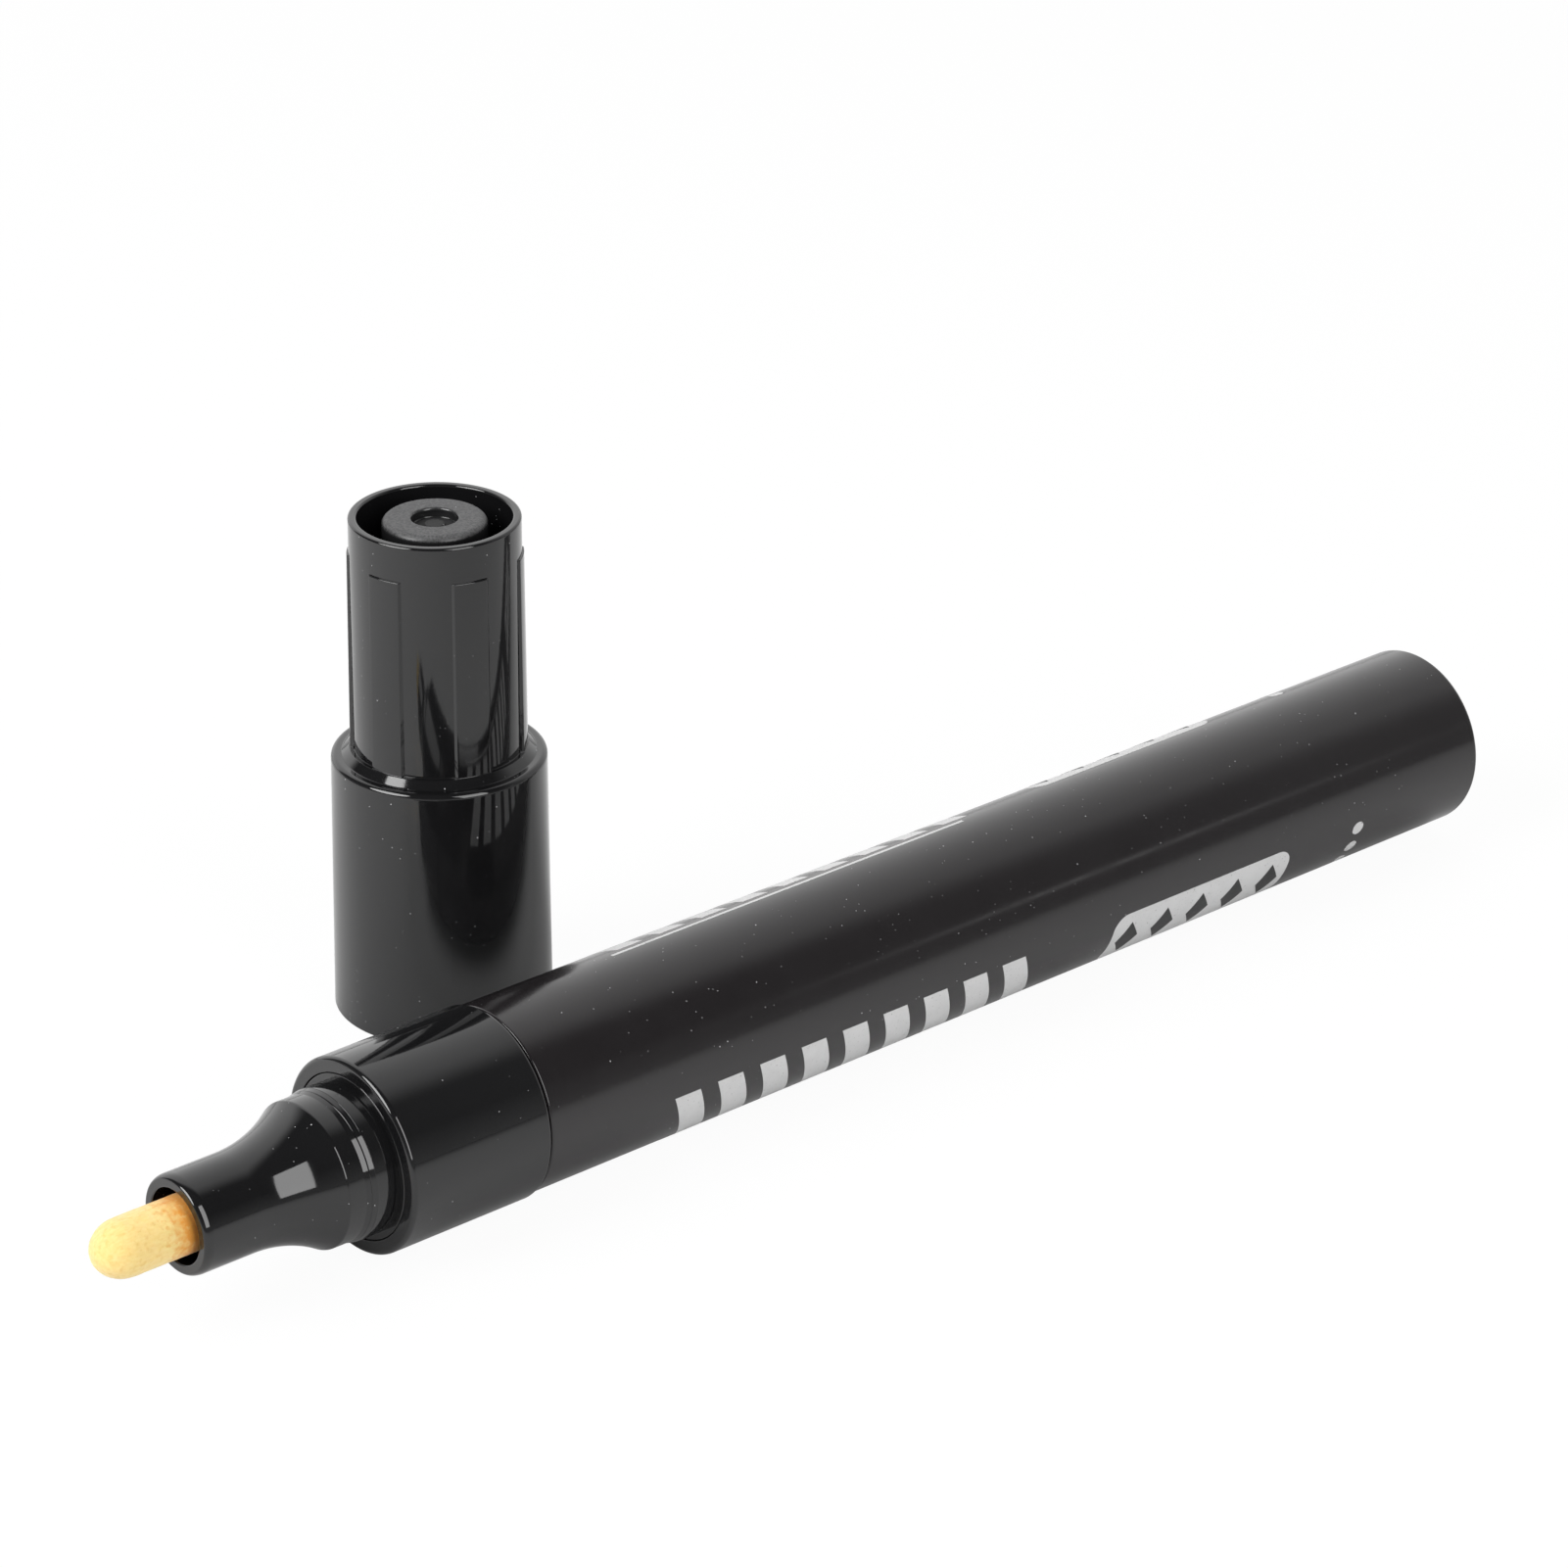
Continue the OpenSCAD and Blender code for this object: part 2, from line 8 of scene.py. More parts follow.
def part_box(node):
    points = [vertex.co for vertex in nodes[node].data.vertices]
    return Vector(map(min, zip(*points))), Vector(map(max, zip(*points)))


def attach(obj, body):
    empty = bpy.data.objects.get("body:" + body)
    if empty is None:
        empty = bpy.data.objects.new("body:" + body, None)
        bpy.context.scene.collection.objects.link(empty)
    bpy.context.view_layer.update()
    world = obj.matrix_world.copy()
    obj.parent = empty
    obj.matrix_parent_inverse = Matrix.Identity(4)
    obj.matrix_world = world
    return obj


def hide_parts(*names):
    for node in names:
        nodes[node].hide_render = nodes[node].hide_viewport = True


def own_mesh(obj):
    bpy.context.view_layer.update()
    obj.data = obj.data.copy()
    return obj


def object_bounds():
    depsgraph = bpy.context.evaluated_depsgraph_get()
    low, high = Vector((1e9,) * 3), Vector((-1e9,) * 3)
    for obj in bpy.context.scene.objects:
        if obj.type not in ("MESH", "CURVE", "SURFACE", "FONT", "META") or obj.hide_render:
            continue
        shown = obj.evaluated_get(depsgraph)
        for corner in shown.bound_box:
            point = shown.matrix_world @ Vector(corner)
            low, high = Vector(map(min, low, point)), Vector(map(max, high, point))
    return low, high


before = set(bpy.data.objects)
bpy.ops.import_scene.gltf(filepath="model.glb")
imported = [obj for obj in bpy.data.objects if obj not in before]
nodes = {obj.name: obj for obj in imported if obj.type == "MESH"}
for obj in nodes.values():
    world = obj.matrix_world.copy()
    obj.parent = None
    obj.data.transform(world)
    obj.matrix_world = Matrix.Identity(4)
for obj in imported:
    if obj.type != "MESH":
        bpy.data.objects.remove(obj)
cad_low, cad_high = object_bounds()

# Sizes of the object are in millimetres here, and become metres where a mesh or a material is made
MM = 0.001
TURN = 2 * math.pi


def size(node):
    """Extent of a node's box, in millimetres to the nearest hundredth."""
    low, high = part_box(node)
    return Vector([round(v / MM, 2) for v in high - low])


def middle(node):
    """Middle of a node's box, in metres."""
    low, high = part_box(node)
    return (low + high) / 2


# Places and sizes that the frame gives
SEAM = Vector((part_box("barrel")[0].x, middle("front_collar").y, middle("front_collar").z))
CAP_FOOT = Vector((middle("cap_shell").x, middle("cap_shell").y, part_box("cap_shell")[0].z))


def station(x):
    """Distance of a place along X from the seam towards the nib, in millimetres."""
    return round((SEAM.x - x) / MM, 4)


def above_foot(z):
    """Height of a place over the cap's foot, in millimetres."""
    return round((z - CAP_FOOT.z) / MM, 3)


BARREL_R = size("barrel").y / 2
BARREL_LENGTH = size("barrel").x
COLLAR_R = size("front_collar").y / 2
COLLAR_LENGTH = station(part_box("front_collar")[0].x)
SPIGOT_LENGTH = -station(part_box("front_collar")[1].x)
NOZZLE_TIP = station(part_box("nozzle")[0].x)
NOZZLE_REAR = station(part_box("nozzle")[1].x)
NIB_TIP = station(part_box("nib")[0].x)
NIB_REAR = station(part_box("nib")[1].x)
NIB_R = size("nib").y / 2
CAP_HEIGHT = above_foot(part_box("cap_shell")[1].z)
CAP_MOUTH_R = size("cap_shell").x / 2
SEAL_FOOT = above_foot(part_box("cap_inner_seal")[0].z)
SEAL_TOP = above_foot(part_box("cap_inner_seal")[1].z)


def on_marker(radius, angle, along):
    """Place on the marker: the angle is 0 on the side away from the cap and a quarter turn at the top."""
    return SEAM + MM * Vector((-along, -radius * math.cos(angle), radius * math.sin(angle)))


def on_cap(radius, angle, height):
    """Place on the cap, at a height over its foot."""
    return CAP_FOOT + MM * Vector((radius * math.cos(angle), radius * math.sin(angle), height))


# Mesh making
ARC_STEPS = 14
EDGE_STEPS = 6
LATHE_STEPS = 240
HOLD = 0.05
LONG_STRETCH = 4 * HOLD
SHARP_ANGLE = math.radians(34)


def even_turn(steps):
    """Angles of a whole turn, evenly apart."""
    return [TURN * i / steps for i in range(steps)]


EVEN_TURN = even_turn(LATHE_STEPS)


def arc(x, y, r, start, end, steps=ARC_STEPS):
    """Points of an arc between two angles in degrees."""
    turns = [math.radians(start + (end - start) * i / steps) for i in range(steps + 1)]
    return [(x + r * math.cos(t), y + r * math.sin(t)) for t in turns]


def held(profile, closed=True):
    """The profile with a point close to each end of a long stretch, so that its shading stays even.

    A stretch that lies on the axis stays as it is.
    """
    onward = profile[1:] + profile[:1] if closed else profile[1:]
    points = []
    for here, there in zip(profile, onward):
        points.append(here)
        run = math.dist(here, there)
        if run > LONG_STRETCH and here[0] + there[0] > 0:
            for share in (HOLD / run, 1 - HOLD / run):
                points.append(tuple(a + (b - a) * share for a, b in zip(here, there)))
    return points if closed else points + profile[-1:]


def rounded(before, corner, after, radius, steps=EDGE_STEPS):
    """Points of an arc that rounds off the corner between two straight stretches of a profile."""
    corner = Vector(corner)
    back = (Vector(before) - corner).normalized()
    on = (Vector(after) - corner).normalized()
    half = back.angle(on) / 2
    centre = corner + (back + on).normalized() * radius / math.sin(half)
    start = (corner + back * radius / math.tan(half) - centre).normalized()
    end = (corner + on * radius / math.tan(half) - centre).normalized()
    return [tuple(centre + start.slerp(end, i / steps) * radius) for i in range(steps + 1)]


def mesh_object(name, points, faces):
    mesh = bpy.data.meshes.new(name)
    mesh.from_pydata([tuple(p) for p in points], [], faces)
    mesh.shade_smooth()
    mesh.set_sharp_from_angle(angle=SHARP_ANGLE)
    made = bpy.data.objects.new(name, mesh)
    bpy.context.scene.collection.objects.link(made)
    return made


def lathe(name, profile, place, angles=EVEN_TURN):
    """Solid turned from a closed profile of (radius, along), with a radius by angle as an option."""
    ring_pairs = zip(profile, profile[1:] + profile[:1])
    area = sum(a[0] * b[1] - b[0] * a[1] for a, b in ring_pairs)
    if area < 0:
        profile = profile[::-1]
    points = []
    rings = []
    for radius, along, *shape in profile:
        start = len(points)
        if radius == 0:
            points.append(place(0, 0, along))
            rings.append([start] * len(angles))
            continue
        for angle in angles:
            points.append(place(shape[0](angle) if shape else radius, angle, along))
        rings.append(list(range(start, len(points))))
    faces = []
    for low, high in zip(rings, rings[1:] + rings[:1]):
        for j in range(len(angles)):
            k = (j + 1) % len(angles)
            corners = list(dict.fromkeys([low[j], low[k], high[k], high[j]]))
            if len(corners) > 2:
                faces.append(corners)
    return mesh_object(name, points, faces)


def dress(piece, body, look, slot, *replaced):
    """Gives a new piece its material and body, and hides the nodes that it stands for. The slot is not
    used.
    """
    piece.data.materials.append(look)
    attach(piece, body)
    if replaced:
        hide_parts(*replaced)


# Material making. A scale is in features per metre
NOISE_SPAN = (0.3, 0.7)


def new_material(name):
    """A new material, its node tree and its shader."""
    made = bpy.data.materials.new(name)
    made.use_nodes = True
    return made, made.node_tree, made.node_tree.nodes["Principled BSDF"]


def set_inputs(shader, values):
    """Sets what is the same all over the surface. A radius is in metres."""
    for key, value in values.items():
        shader.inputs[key].default_value = value


def add(tree, kind, inputs=None, **settings):
    """A new node with its settings, and with each input set to a value or linked to a socket."""
    made = tree.nodes.new(kind)
    for key, value in settings.items():
        setattr(made, key, value)
    for key, value in (inputs or {}).items():
        if isinstance(value, bpy.types.NodeSocket):
            tree.links.new(value, made.inputs[key])
        else:
            made.inputs[key].default_value = value
    return made


def place_on(tree, stretch=(1, 1, 1)):
    """The piece's own coordinates in metres, stretched along each axis."""
    coordinates = add(tree, "ShaderNodeTexCoord")
    mapping = add(tree, "ShaderNodeMapping", {"Vector": coordinates.outputs["Object"], "Scale": stretch})
    return mapping.outputs["Vector"]


def grain(tree, where, scale, detail=3.0, roughness=0.55):
    inputs = {"Vector": where, "Scale": scale, "Detail": detail, "Roughness": roughness}
    return add(tree, "ShaderNodeTexNoise", inputs).outputs["Fac"]


def ranged(tree, value, low, high, new_low, new_high, kind="LINEAR"):
    inputs = {"Value": value, "From Min": low, "From Max": high, "To Min": new_low, "To Max": new_high}
    return add(tree, "ShaderNodeMapRange", inputs, interpolation_type=kind).outputs["Result"]


def maths(tree, operation, a, b):
    return add(tree, "ShaderNodeMath", {0: a, 1: b}, operation=operation).outputs["Value"]


def blend(tree, share, first, second):
    """Mix of two colours. Each is a socket or an RGB value."""
    mixer = add(tree, "ShaderNodeMix", {"Factor": share}, data_type="RGBA")
    for socket, value in (("A", first), ("B", second)):
        target = next(s for s in mixer.inputs if s.name == socket and s.type == "RGBA")
        if isinstance(value, bpy.types.NodeSocket):
            tree.links.new(value, target)
        else:
            target.default_value = (*value, 1)
    return next(s for s in mixer.outputs if s.type == "RGBA")


def bump(tree, height, depth):
    """Normal of a relief whose depth is in millimetres."""
    inputs = {"Height": height, "Strength": 1.0, "Distance": depth * MM}
    return add(tree, "ShaderNodeBump", inputs).outputs["Normal"]


def dust(tree, where, scale, reach, kept):
    """Mask of fine dust specks: one in some of the cells of a grid of random points."""
    cells = add(tree, "ShaderNodeTexVoronoi", {"Vector": where, "Scale": scale})
    near = maths(tree, "LESS_THAN", cells.outputs["Distance"], reach)
    tone = add(tree, "ShaderNodeSeparateColor", {"Color": cells.outputs["Color"]})
    chosen = maths(tree, "LESS_THAN", tone.outputs["Red"], kept)
    return maths(tree, "MULTIPLY", near, chosen)


# Black surfaces
BLACK_IOR = 1.58
CLOUD_SCALE = 140
SMEAR_SCALE = 420
RIPPLE_SCALE = 2600
DUST_COLOUR = (0.5, 0.5, 0.51)
DUST_ROUGHNESS = 0.5
DRIFT_SCALE = 90
DRIFT_SPAN = (0.4, 0.65)
FINE_DUST = {"scale": 3000, "reach": 0.12}
COARSE_DUST = {"scale": 1200, "reach": 0.06}
COARSE_SHARE = 1.4


def black_look(name, dark, light, roughness, ripple, dust_kept):
    """Black surface with faint cloudiness, uneven gloss, a fine ripple and drifts of dust specks."""
    made, tree, shader = new_material(name)
    where = place_on(tree)
    tone = blend(tree, grain(tree, where, CLOUD_SCALE), dark, light)
    drifts = ranged(tree, grain(tree, where, DRIFT_SCALE, detail=2), *DRIFT_SPAN, 0, 1)
    fine = dust(tree, where, **FINE_DUST, kept=dust_kept)
    coarse = dust(tree, where, **COARSE_DUST, kept=COARSE_SHARE * dust_kept)
    specks = maths(tree, "MAXIMUM", maths(tree, "MULTIPLY", fine, drifts), coarse)
    tree.links.new(blend(tree, specks, tone, DUST_COLOUR), shader.inputs["Base Color"])
    gloss = ranged(tree, grain(tree, where, SMEAR_SCALE, detail=4), *NOISE_SPAN, *roughness)
    dulled = maths(tree, "ADD", gloss, maths(tree, "MULTIPLY", specks, DUST_ROUGHNESS))
    tree.links.new(dulled, shader.inputs["Roughness"])
    waves = grain(tree, where, RIPPLE_SCALE, detail=2)
    tree.links.new(bump(tree, waves, ripple), shader.inputs["Normal"])
    set_inputs(shader, {"IOR": BLACK_IOR})
    return made


def barrel_look():
    return black_look(
        "barrel_satin_black",
        dark=(0.0085, 0.0067, 0.0075),
        light=(0.0125, 0.0107, 0.0115),
        roughness=(0.14, 0.2),
        ripple=0.0015,
        dust_kept=0.09,
    )


def gloss_look():
    return black_look(
        "gloss_black_plastic",
        dark=(0.006, 0.006, 0.0065),
        light=(0.009, 0.009, 0.0095),
        roughness=(0.05, 0.08),
        ripple=0.0008,
        dust_kept=0.07,
    )


# Felt
FELT_PALE = (0.9, 0.7, 0.3)
FELT_MID = (0.86, 0.63, 0.24)
FELT_PORE = (0.78, 0.52, 0.16)
# Painted shade on the felt next to the nozzle's mouth: its colour, reach and uneven edge
FELT_MOUTH_SHADE = (0.8, 0.33, 0.05)
FELT_MOUTH_SHADE_REACH = 2.0
FELT_MOUTH_SHADE_WANDER = 0.7
FIBRE_SCALE = 4200
FIBRE_STRETCH = (0.35, 1, 1)
FIBRE_SPAN = (0.35, 0.65)
PORE_SCALE = 2600
PORE_SPAN = (0.52, 0.72)
PORE_SHARE = 0.7
FELT_BUMP = 0.04
FELT_INPUTS = {
    "Roughness": 0.95,
    "Specular IOR Level": 0.15,
    "Sheen Weight": 0.3,
    "Sheen Roughness": 0.5,
    "Subsurface Weight": 0.35,
    "Subsurface Radius": (0.0006, 0.0004, 0.00015),
    "Subsurface Scale": 1.0,
}


def felt_look():
    """Pressed felt: pale yellow fibres, fine pores, and painted shade, a deeper orange, where it enters
    the nozzle.
    """
    made, tree, shader = new_material("nib_felt")
    where = place_on(tree)
    fibres = grain(tree, place_on(tree, FIBRE_STRETCH), FIBRE_SCALE, detail=4, roughness=0.6)
    pores = grain(tree, where, PORE_SCALE)
    pale = blend(tree, ranged(tree, fibres, *FIBRE_SPAN, 0, 1), FELT_MID, FELT_PALE)
    mottled = blend(tree, ranged(tree, pores, *PORE_SPAN, 0, PORE_SHARE), pale, FELT_PORE)
    lengthwise = add(tree, "ShaderNodeSeparateXYZ", {"Vector": where}).outputs["X"]
    # Painted shade: over the last stretch before the nozzle's mouth the felt turns a deeper orange
    mouth = on_marker(0, 0, NOZZLE_TIP).x
    wander = ranged(tree, pores, *NOISE_SPAN, -FELT_MOUTH_SHADE_WANDER * MM, FELT_MOUTH_SHADE_WANDER * MM)
    uneven = maths(tree, "ADD", lengthwise, wander)
    mouth_shade = ranged(tree, uneven, mouth - FELT_MOUTH_SHADE_REACH * MM, mouth, 0, 1)
    tree.links.new(blend(tree, mouth_shade, mottled, FELT_MOUTH_SHADE), shader.inputs["Base Color"])
    relief = maths(tree, "ADD", fibres, pores)
    tree.links.new(bump(tree, relief, FELT_BUMP), shader.inputs["Normal"])
    set_inputs(shader, FELT_INPUTS)
    return made


# Seal plastic, whose finish follows the dimple in the seal's closed end
DIMPLE_R = 1.8
DIMPLE_LIP = 0.22
DIMPLE_ROUND = 0.12
DIMPLE_DULLNESS = 0.6
ERODED_DEPTH = 0.1
ERODED_END = 0.5
ERODED_SCALE = 4800
ERODED_SPAN = (0.38, 0.64)
ERODED_DARK = (0.03, 0.03, 0.031)
ERODED_LIGHT = (0.12, 0.12, 0.122)
ERODED_ROUGHNESS = (0.5, 0.7)
ERODED_BUMP = 0.035
POLISHED_TONE = (0.012, 0.012, 0.0125)
POLISHED_ROUGHNESS = (0.12, 0.2)
SEAL_DUST = {"scale": 1500, "reach": 0.07, "kept": 0.3}


def seal_look():
    """Dark plastic: polished sides, a duller dimple floor and a spark-eroded grey end face."""
    made, tree, shader = new_material("seal_matte_plastic")
    where = place_on(tree)
    place = add(tree, "ShaderNodeSeparateXYZ", {"Vector": where}).outputs
    aside = maths(tree, "SUBTRACT", place["X"], CAP_FOOT.x)
    beyond = maths(tree, "SUBTRACT", place["Y"], CAP_FOOT.y)
    squares = maths(tree, "ADD", maths(tree, "POWER", aside, 2), maths(tree, "POWER", beyond, 2))
    from_axis = maths(tree, "POWER", squares, 0.5)
    top = CAP_FOOT.z + SEAL_TOP * MM
    on_top = ranged(tree, place["Z"], top - ERODED_END * MM, top - ERODED_DEPTH * MM, 0, 1)
    past_dimple = ranged(tree, from_axis, DIMPLE_R * MM, (DIMPLE_R + DIMPLE_LIP) * MM, 0, 1)
    eroded = maths(tree, "MULTIPLY", on_top, past_dimple)
    grains = grain(tree, where, ERODED_SCALE, detail=4, roughness=0.75)
    grey = blend(tree, ranged(tree, grains, *ERODED_SPAN, 0, 1), ERODED_DARK, ERODED_LIGHT)
    colour = blend(tree, eroded, POLISHED_TONE, grey)
    specks = dust(tree, where, **SEAL_DUST)
    tree.links.new(blend(tree, specks, colour, DUST_COLOUR), shader.inputs["Base Color"])
    rough = ranged(tree, grains, *NOISE_SPAN, *ERODED_ROUGHNESS)
    floor = maths(tree, "LESS_THAN", from_axis, (DIMPLE_R - DIMPLE_ROUND) * MM)
    dulled = maths(tree, "MULTIPLY", floor, DIMPLE_DULLNESS)
    gloss = maths(tree, "ADD", ranged(tree, grains, *NOISE_SPAN, *POLISHED_ROUGHNESS), dulled)
    rough_share = maths(tree, "MULTIPLY", eroded, rough)
    gloss_share = maths(tree, "MULTIPLY", maths(tree, "SUBTRACT", 1.0, eroded), gloss)
    tree.links.new(maths(tree, "ADD", rough_share, gloss_share), shader.inputs["Roughness"])
    relief = maths(tree, "MULTIPLY", grains, eroded)
    tree.links.new(bump(tree, relief, ERODED_BUMP), shader.inputs["Normal"])
    set_inputs(shader, {"IOR": BLACK_IOR})
    return made


# Valve plastic
VALVE_DARK = (0.66, 0.65, 0.60)
VALVE_LIGHT = (0.78, 0.77, 0.72)
VALVE_CLOUD_SCALE = 700
VALVE_ROUGHNESS = (0.32, 0.45)
VALVE_GRAIN_SCALE = 5000
VALVE_BUMP = 0.005
VALVE_INPUTS = {"Subsurface Weight": 0.1, "Subsurface Radius": (0.001, 0.001, 0.001)}


def valve_look():
    made, tree, shader = new_material("valve_white_plastic")
    where = place_on(tree)
    clouds = grain(tree, where, VALVE_CLOUD_SCALE)
    tree.links.new(blend(tree, clouds, VALVE_DARK, VALVE_LIGHT), shader.inputs["Base Color"])
    tree.links.new(ranged(tree, clouds, *NOISE_SPAN, *VALVE_ROUGHNESS), shader.inputs["Roughness"])
    relief = grain(tree, where, VALVE_GRAIN_SCALE)
    tree.links.new(bump(tree, relief, VALVE_BUMP), shader.inputs["Normal"])
    set_inputs(shader, VALVE_INPUTS)
    return made


# Steel
STEEL_DIM = 0.82
STEEL_BUMP = 0.002


def steel_look(name, tint, roughness, scale):
    made, tree, shader = new_material(name)
    lines = grain(tree, place_on(tree), scale, detail=4, roughness=0.6)
    dim = tuple(STEEL_DIM * c for c in tint)
    tree.links.new(blend(tree, lines, dim, tint), shader.inputs["Base Color"])
    tree.links.new(ranged(tree, lines, *NOISE_SPAN, *roughness), shader.inputs["Roughness"])
    tree.links.new(bump(tree, lines, STEEL_BUMP), shader.inputs["Normal"])
    set_inputs(shader, {"Metallic": 1.0})
    return made


# Ink
COAT_SCALE = 900
INK_ROUGHNESS = (0.4, 0.52)
INK_GRAIN_SCALE = 4200
INK_BUMP = 0.006
PINHOLE_SCALE = 5200
PINHOLE_SPAN = (0.66, 0.74)
PINHOLE_SHARE = 0.6
PINHOLE_TONE = (0.05, 0.05, 0.05)


def ink_look(name, dark, light):
    """Screen-printed ink with an uneven coat."""
    made, tree, shader = new_material(name)
    where = place_on(tree)
    coat = grain(tree, where, COAT_SCALE, detail=4, roughness=0.6)
    pinholes = ranged(tree, grain(tree, where, PINHOLE_SCALE, detail=2), *PINHOLE_SPAN, 0, PINHOLE_SHARE)
    colour = blend(tree, coat, dark, light)
    tree.links.new(blend(tree, pinholes, colour, PINHOLE_TONE), shader.inputs["Base Color"])
    tree.links.new(ranged(tree, coat, *NOISE_SPAN, *INK_ROUGHNESS), shader.inputs["Roughness"])
    relief = grain(tree, where, INK_GRAIN_SCALE)
    tree.links.new(bump(tree, relief, INK_BUMP), shader.inputs["Normal"])
    return made


BARREL_PAINT = barrel_look()
GLOSS = gloss_look()
FELT = felt_look()
SEAL_PLASTIC = seal_look()
VALVE_PLASTIC = valve_look()
SPRING_STEEL = steel_look("spring_drawn_steel", (0.56, 0.57, 0.58), roughness=(0.25, 0.4), scale=2400)
BALL_STEEL = steel_look("ball_polished_steel", (0.66, 0.67, 0.69), roughness=(0.05, 0.12), scale=900)
SILVER_INK = ink_look("print_silver_ink", dark=(0.56, 0.56, 0.56), light=(0.68, 0.68, 0.68))
BLACK_INK = ink_look("print_black_ink", dark=(0.012, 0.012, 0.012), light=(0.02, 0.02, 0.02))

# Nodes that keep their own shape, all of them inside the marker
NODE_LOOKS = {
    "valve_seat": VALVE_PLASTIC,
    "valve_plunger": VALVE_PLASTIC,
    "valve_cage": VALVE_PLASTIC,
    "mixing_ball": BALL_STEEL,
}
for node_name, node_look in NODE_LOOKS.items():
    nodes[node_name].data.materials.clear()
    nodes[node_name].data.materials.append(node_look)


# Barrel
BARREL_WALL = 0.5
BARREL_BORE_R = BARREL_R - BARREL_WALL
BARREL_END_WALL = 0.8
BARREL_EDGE_R = 0.4
BARREL_LIP_R = 0.2


def make_barrel():
    rear = -BARREL_LENGTH
    floor = rear + BARREL_END_WALL
    profile = [(BARREL_BORE_R, 0)]
    profile += arc(BARREL_R - BARREL_LIP_R, -BARREL_LIP_R, BARREL_LIP_R, 90, 0)
    profile += arc(BARREL_R - BARREL_EDGE_R, rear + BARREL_EDGE_R, BARREL_EDGE_R, 0, -90)
    profile += [(0, rear), (0, floor), (BARREL_BORE_R, floor)]
    tube = lathe("barrel_tube", held(profile), on_marker)
    dress(tube, "marker", BARREL_PAINT, "barrel_paint", "barrel")


# Front collar
COLLAR_FRONT_R = 0.4
COLLAR_REAR_R = 0.25
RECESS_EDGE_R = 0.05
SEAM_GAP = 0.15
SEAM_SEAT = 0.2
PRESS_ROOM = 0.03
FLANGE_R = 6.5
FLANGE_T = 1.4
FLANGE_SINK = 0.2
FLANGE_SEEN_SINK = 0.03
FLANGE_EDGE_R = 0.14
SHANK_R = 5.2
CAGE_R = 4.6
SEAT_AND_CAGE_FLANGE = 2.6
BEAD_COUNT = 3
BEAD_WIDTH = 1.4
BEAD_HEIGHT = 0.25
SHELF = COLLAR_LENGTH - FLANGE_SINK - FLANGE_T


def make_collar():
    bead_r = BARREL_BORE_R - PRESS_ROOM
    spigot = bead_r - BEAD_HEIGHT
    seat = BARREL_BORE_R + SEAM_SEAT
    cage_hole = CAGE_R + PRESS_ROOM
    shank_bore = SHANK_R + PRESS_ROOM
    recess = FLANGE_R + PRESS_ROOM
    ledge = NOZZLE_REAR - SEAT_AND_CAGE_FLANGE
    profile = [(cage_hole, -SPIGOT_LENGTH), (spigot, -SPIGOT_LENGTH)]
    for i in reversed(range(BEAD_COUNT)):
        mid = -SPIGOT_LENGTH / BEAD_COUNT * (i + 0.5)
        foot, crest = BEAD_WIDTH / 2, BEAD_WIDTH / 4
        profile += [(spigot, mid - foot), (bead_r, mid - crest)]
        profile += [(bead_r, mid + crest), (spigot, mid + foot)]
    profile += [(spigot, 0), (seat, 0), (seat, SEAM_GAP)]
    profile += arc(COLLAR_R - COLLAR_REAR_R, SEAM_GAP + COLLAR_REAR_R, COLLAR_REAR_R, -90, 0)
    profile += arc(COLLAR_R - COLLAR_FRONT_R, COLLAR_LENGTH - COLLAR_FRONT_R, COLLAR_FRONT_R, 0, 90)
    recess_edge = COLLAR_LENGTH - RECESS_EDGE_R
    profile += arc(recess + RECESS_EDGE_R, recess_edge, RECESS_EDGE_R, 90, 180, EDGE_STEPS)
    profile += [(recess, SHELF), (shank_bore, SHELF), (shank_bore, ledge), (cage_hole, ledge)]
    collar = lathe("collar_ring", held(profile), on_marker)
    dress(collar, "marker", GLOSS, "black_plastic", "front_collar")


# Nozzle
TIP_R = 3.9
TIP_LENGTH = 5.15
MOUTH_R = 2.95
MOUTH_DEPTH = 4.6
MOUTH_LIP_R = 0.12
LIP_R = 0.33
LIP_LENGTH = 0.75
SHOULDER_R = 5.75
SHOULDER_ROUND = 0.35
FLARE_R = 11.5
FLARE_STEPS = 40
BASE_R = 5.95
RING_LENGTH = 1.95
RING_CONE = 0.85
RING_EDGE_R = 0.04
RING_EDGE_TURN = 60
FINE_EDGE_STEPS = 5
GROOVE = 0.05
SHANK_WALL = 1.0
NIB_ROOM = 0.07
GUIDE_R = NIB_R + NIB_ROOM
GUIDE_TOP = NOZZLE_TIP - MOUTH_DEPTH
GUIDE_LENGTH = 10
CHANNEL_COUNT = 4
CHANNEL_R = 0.6


def guide_radius(angle):
    """Radius of the nib's guide, with a round paint channel at each quarter."""
    pitch = TURN / CHANNEL_COUNT
    off = (angle - math.pi / 2 + pitch / 2) % pitch - pitch / 2
    across = GUIDE_R * math.sin(off)
    if abs(across) >= CHANNEL_R:
        return GUIDE_R
    return max(GUIDE_R, GUIDE_R * math.cos(off) + math.sqrt(CHANNEL_R**2 - across**2))


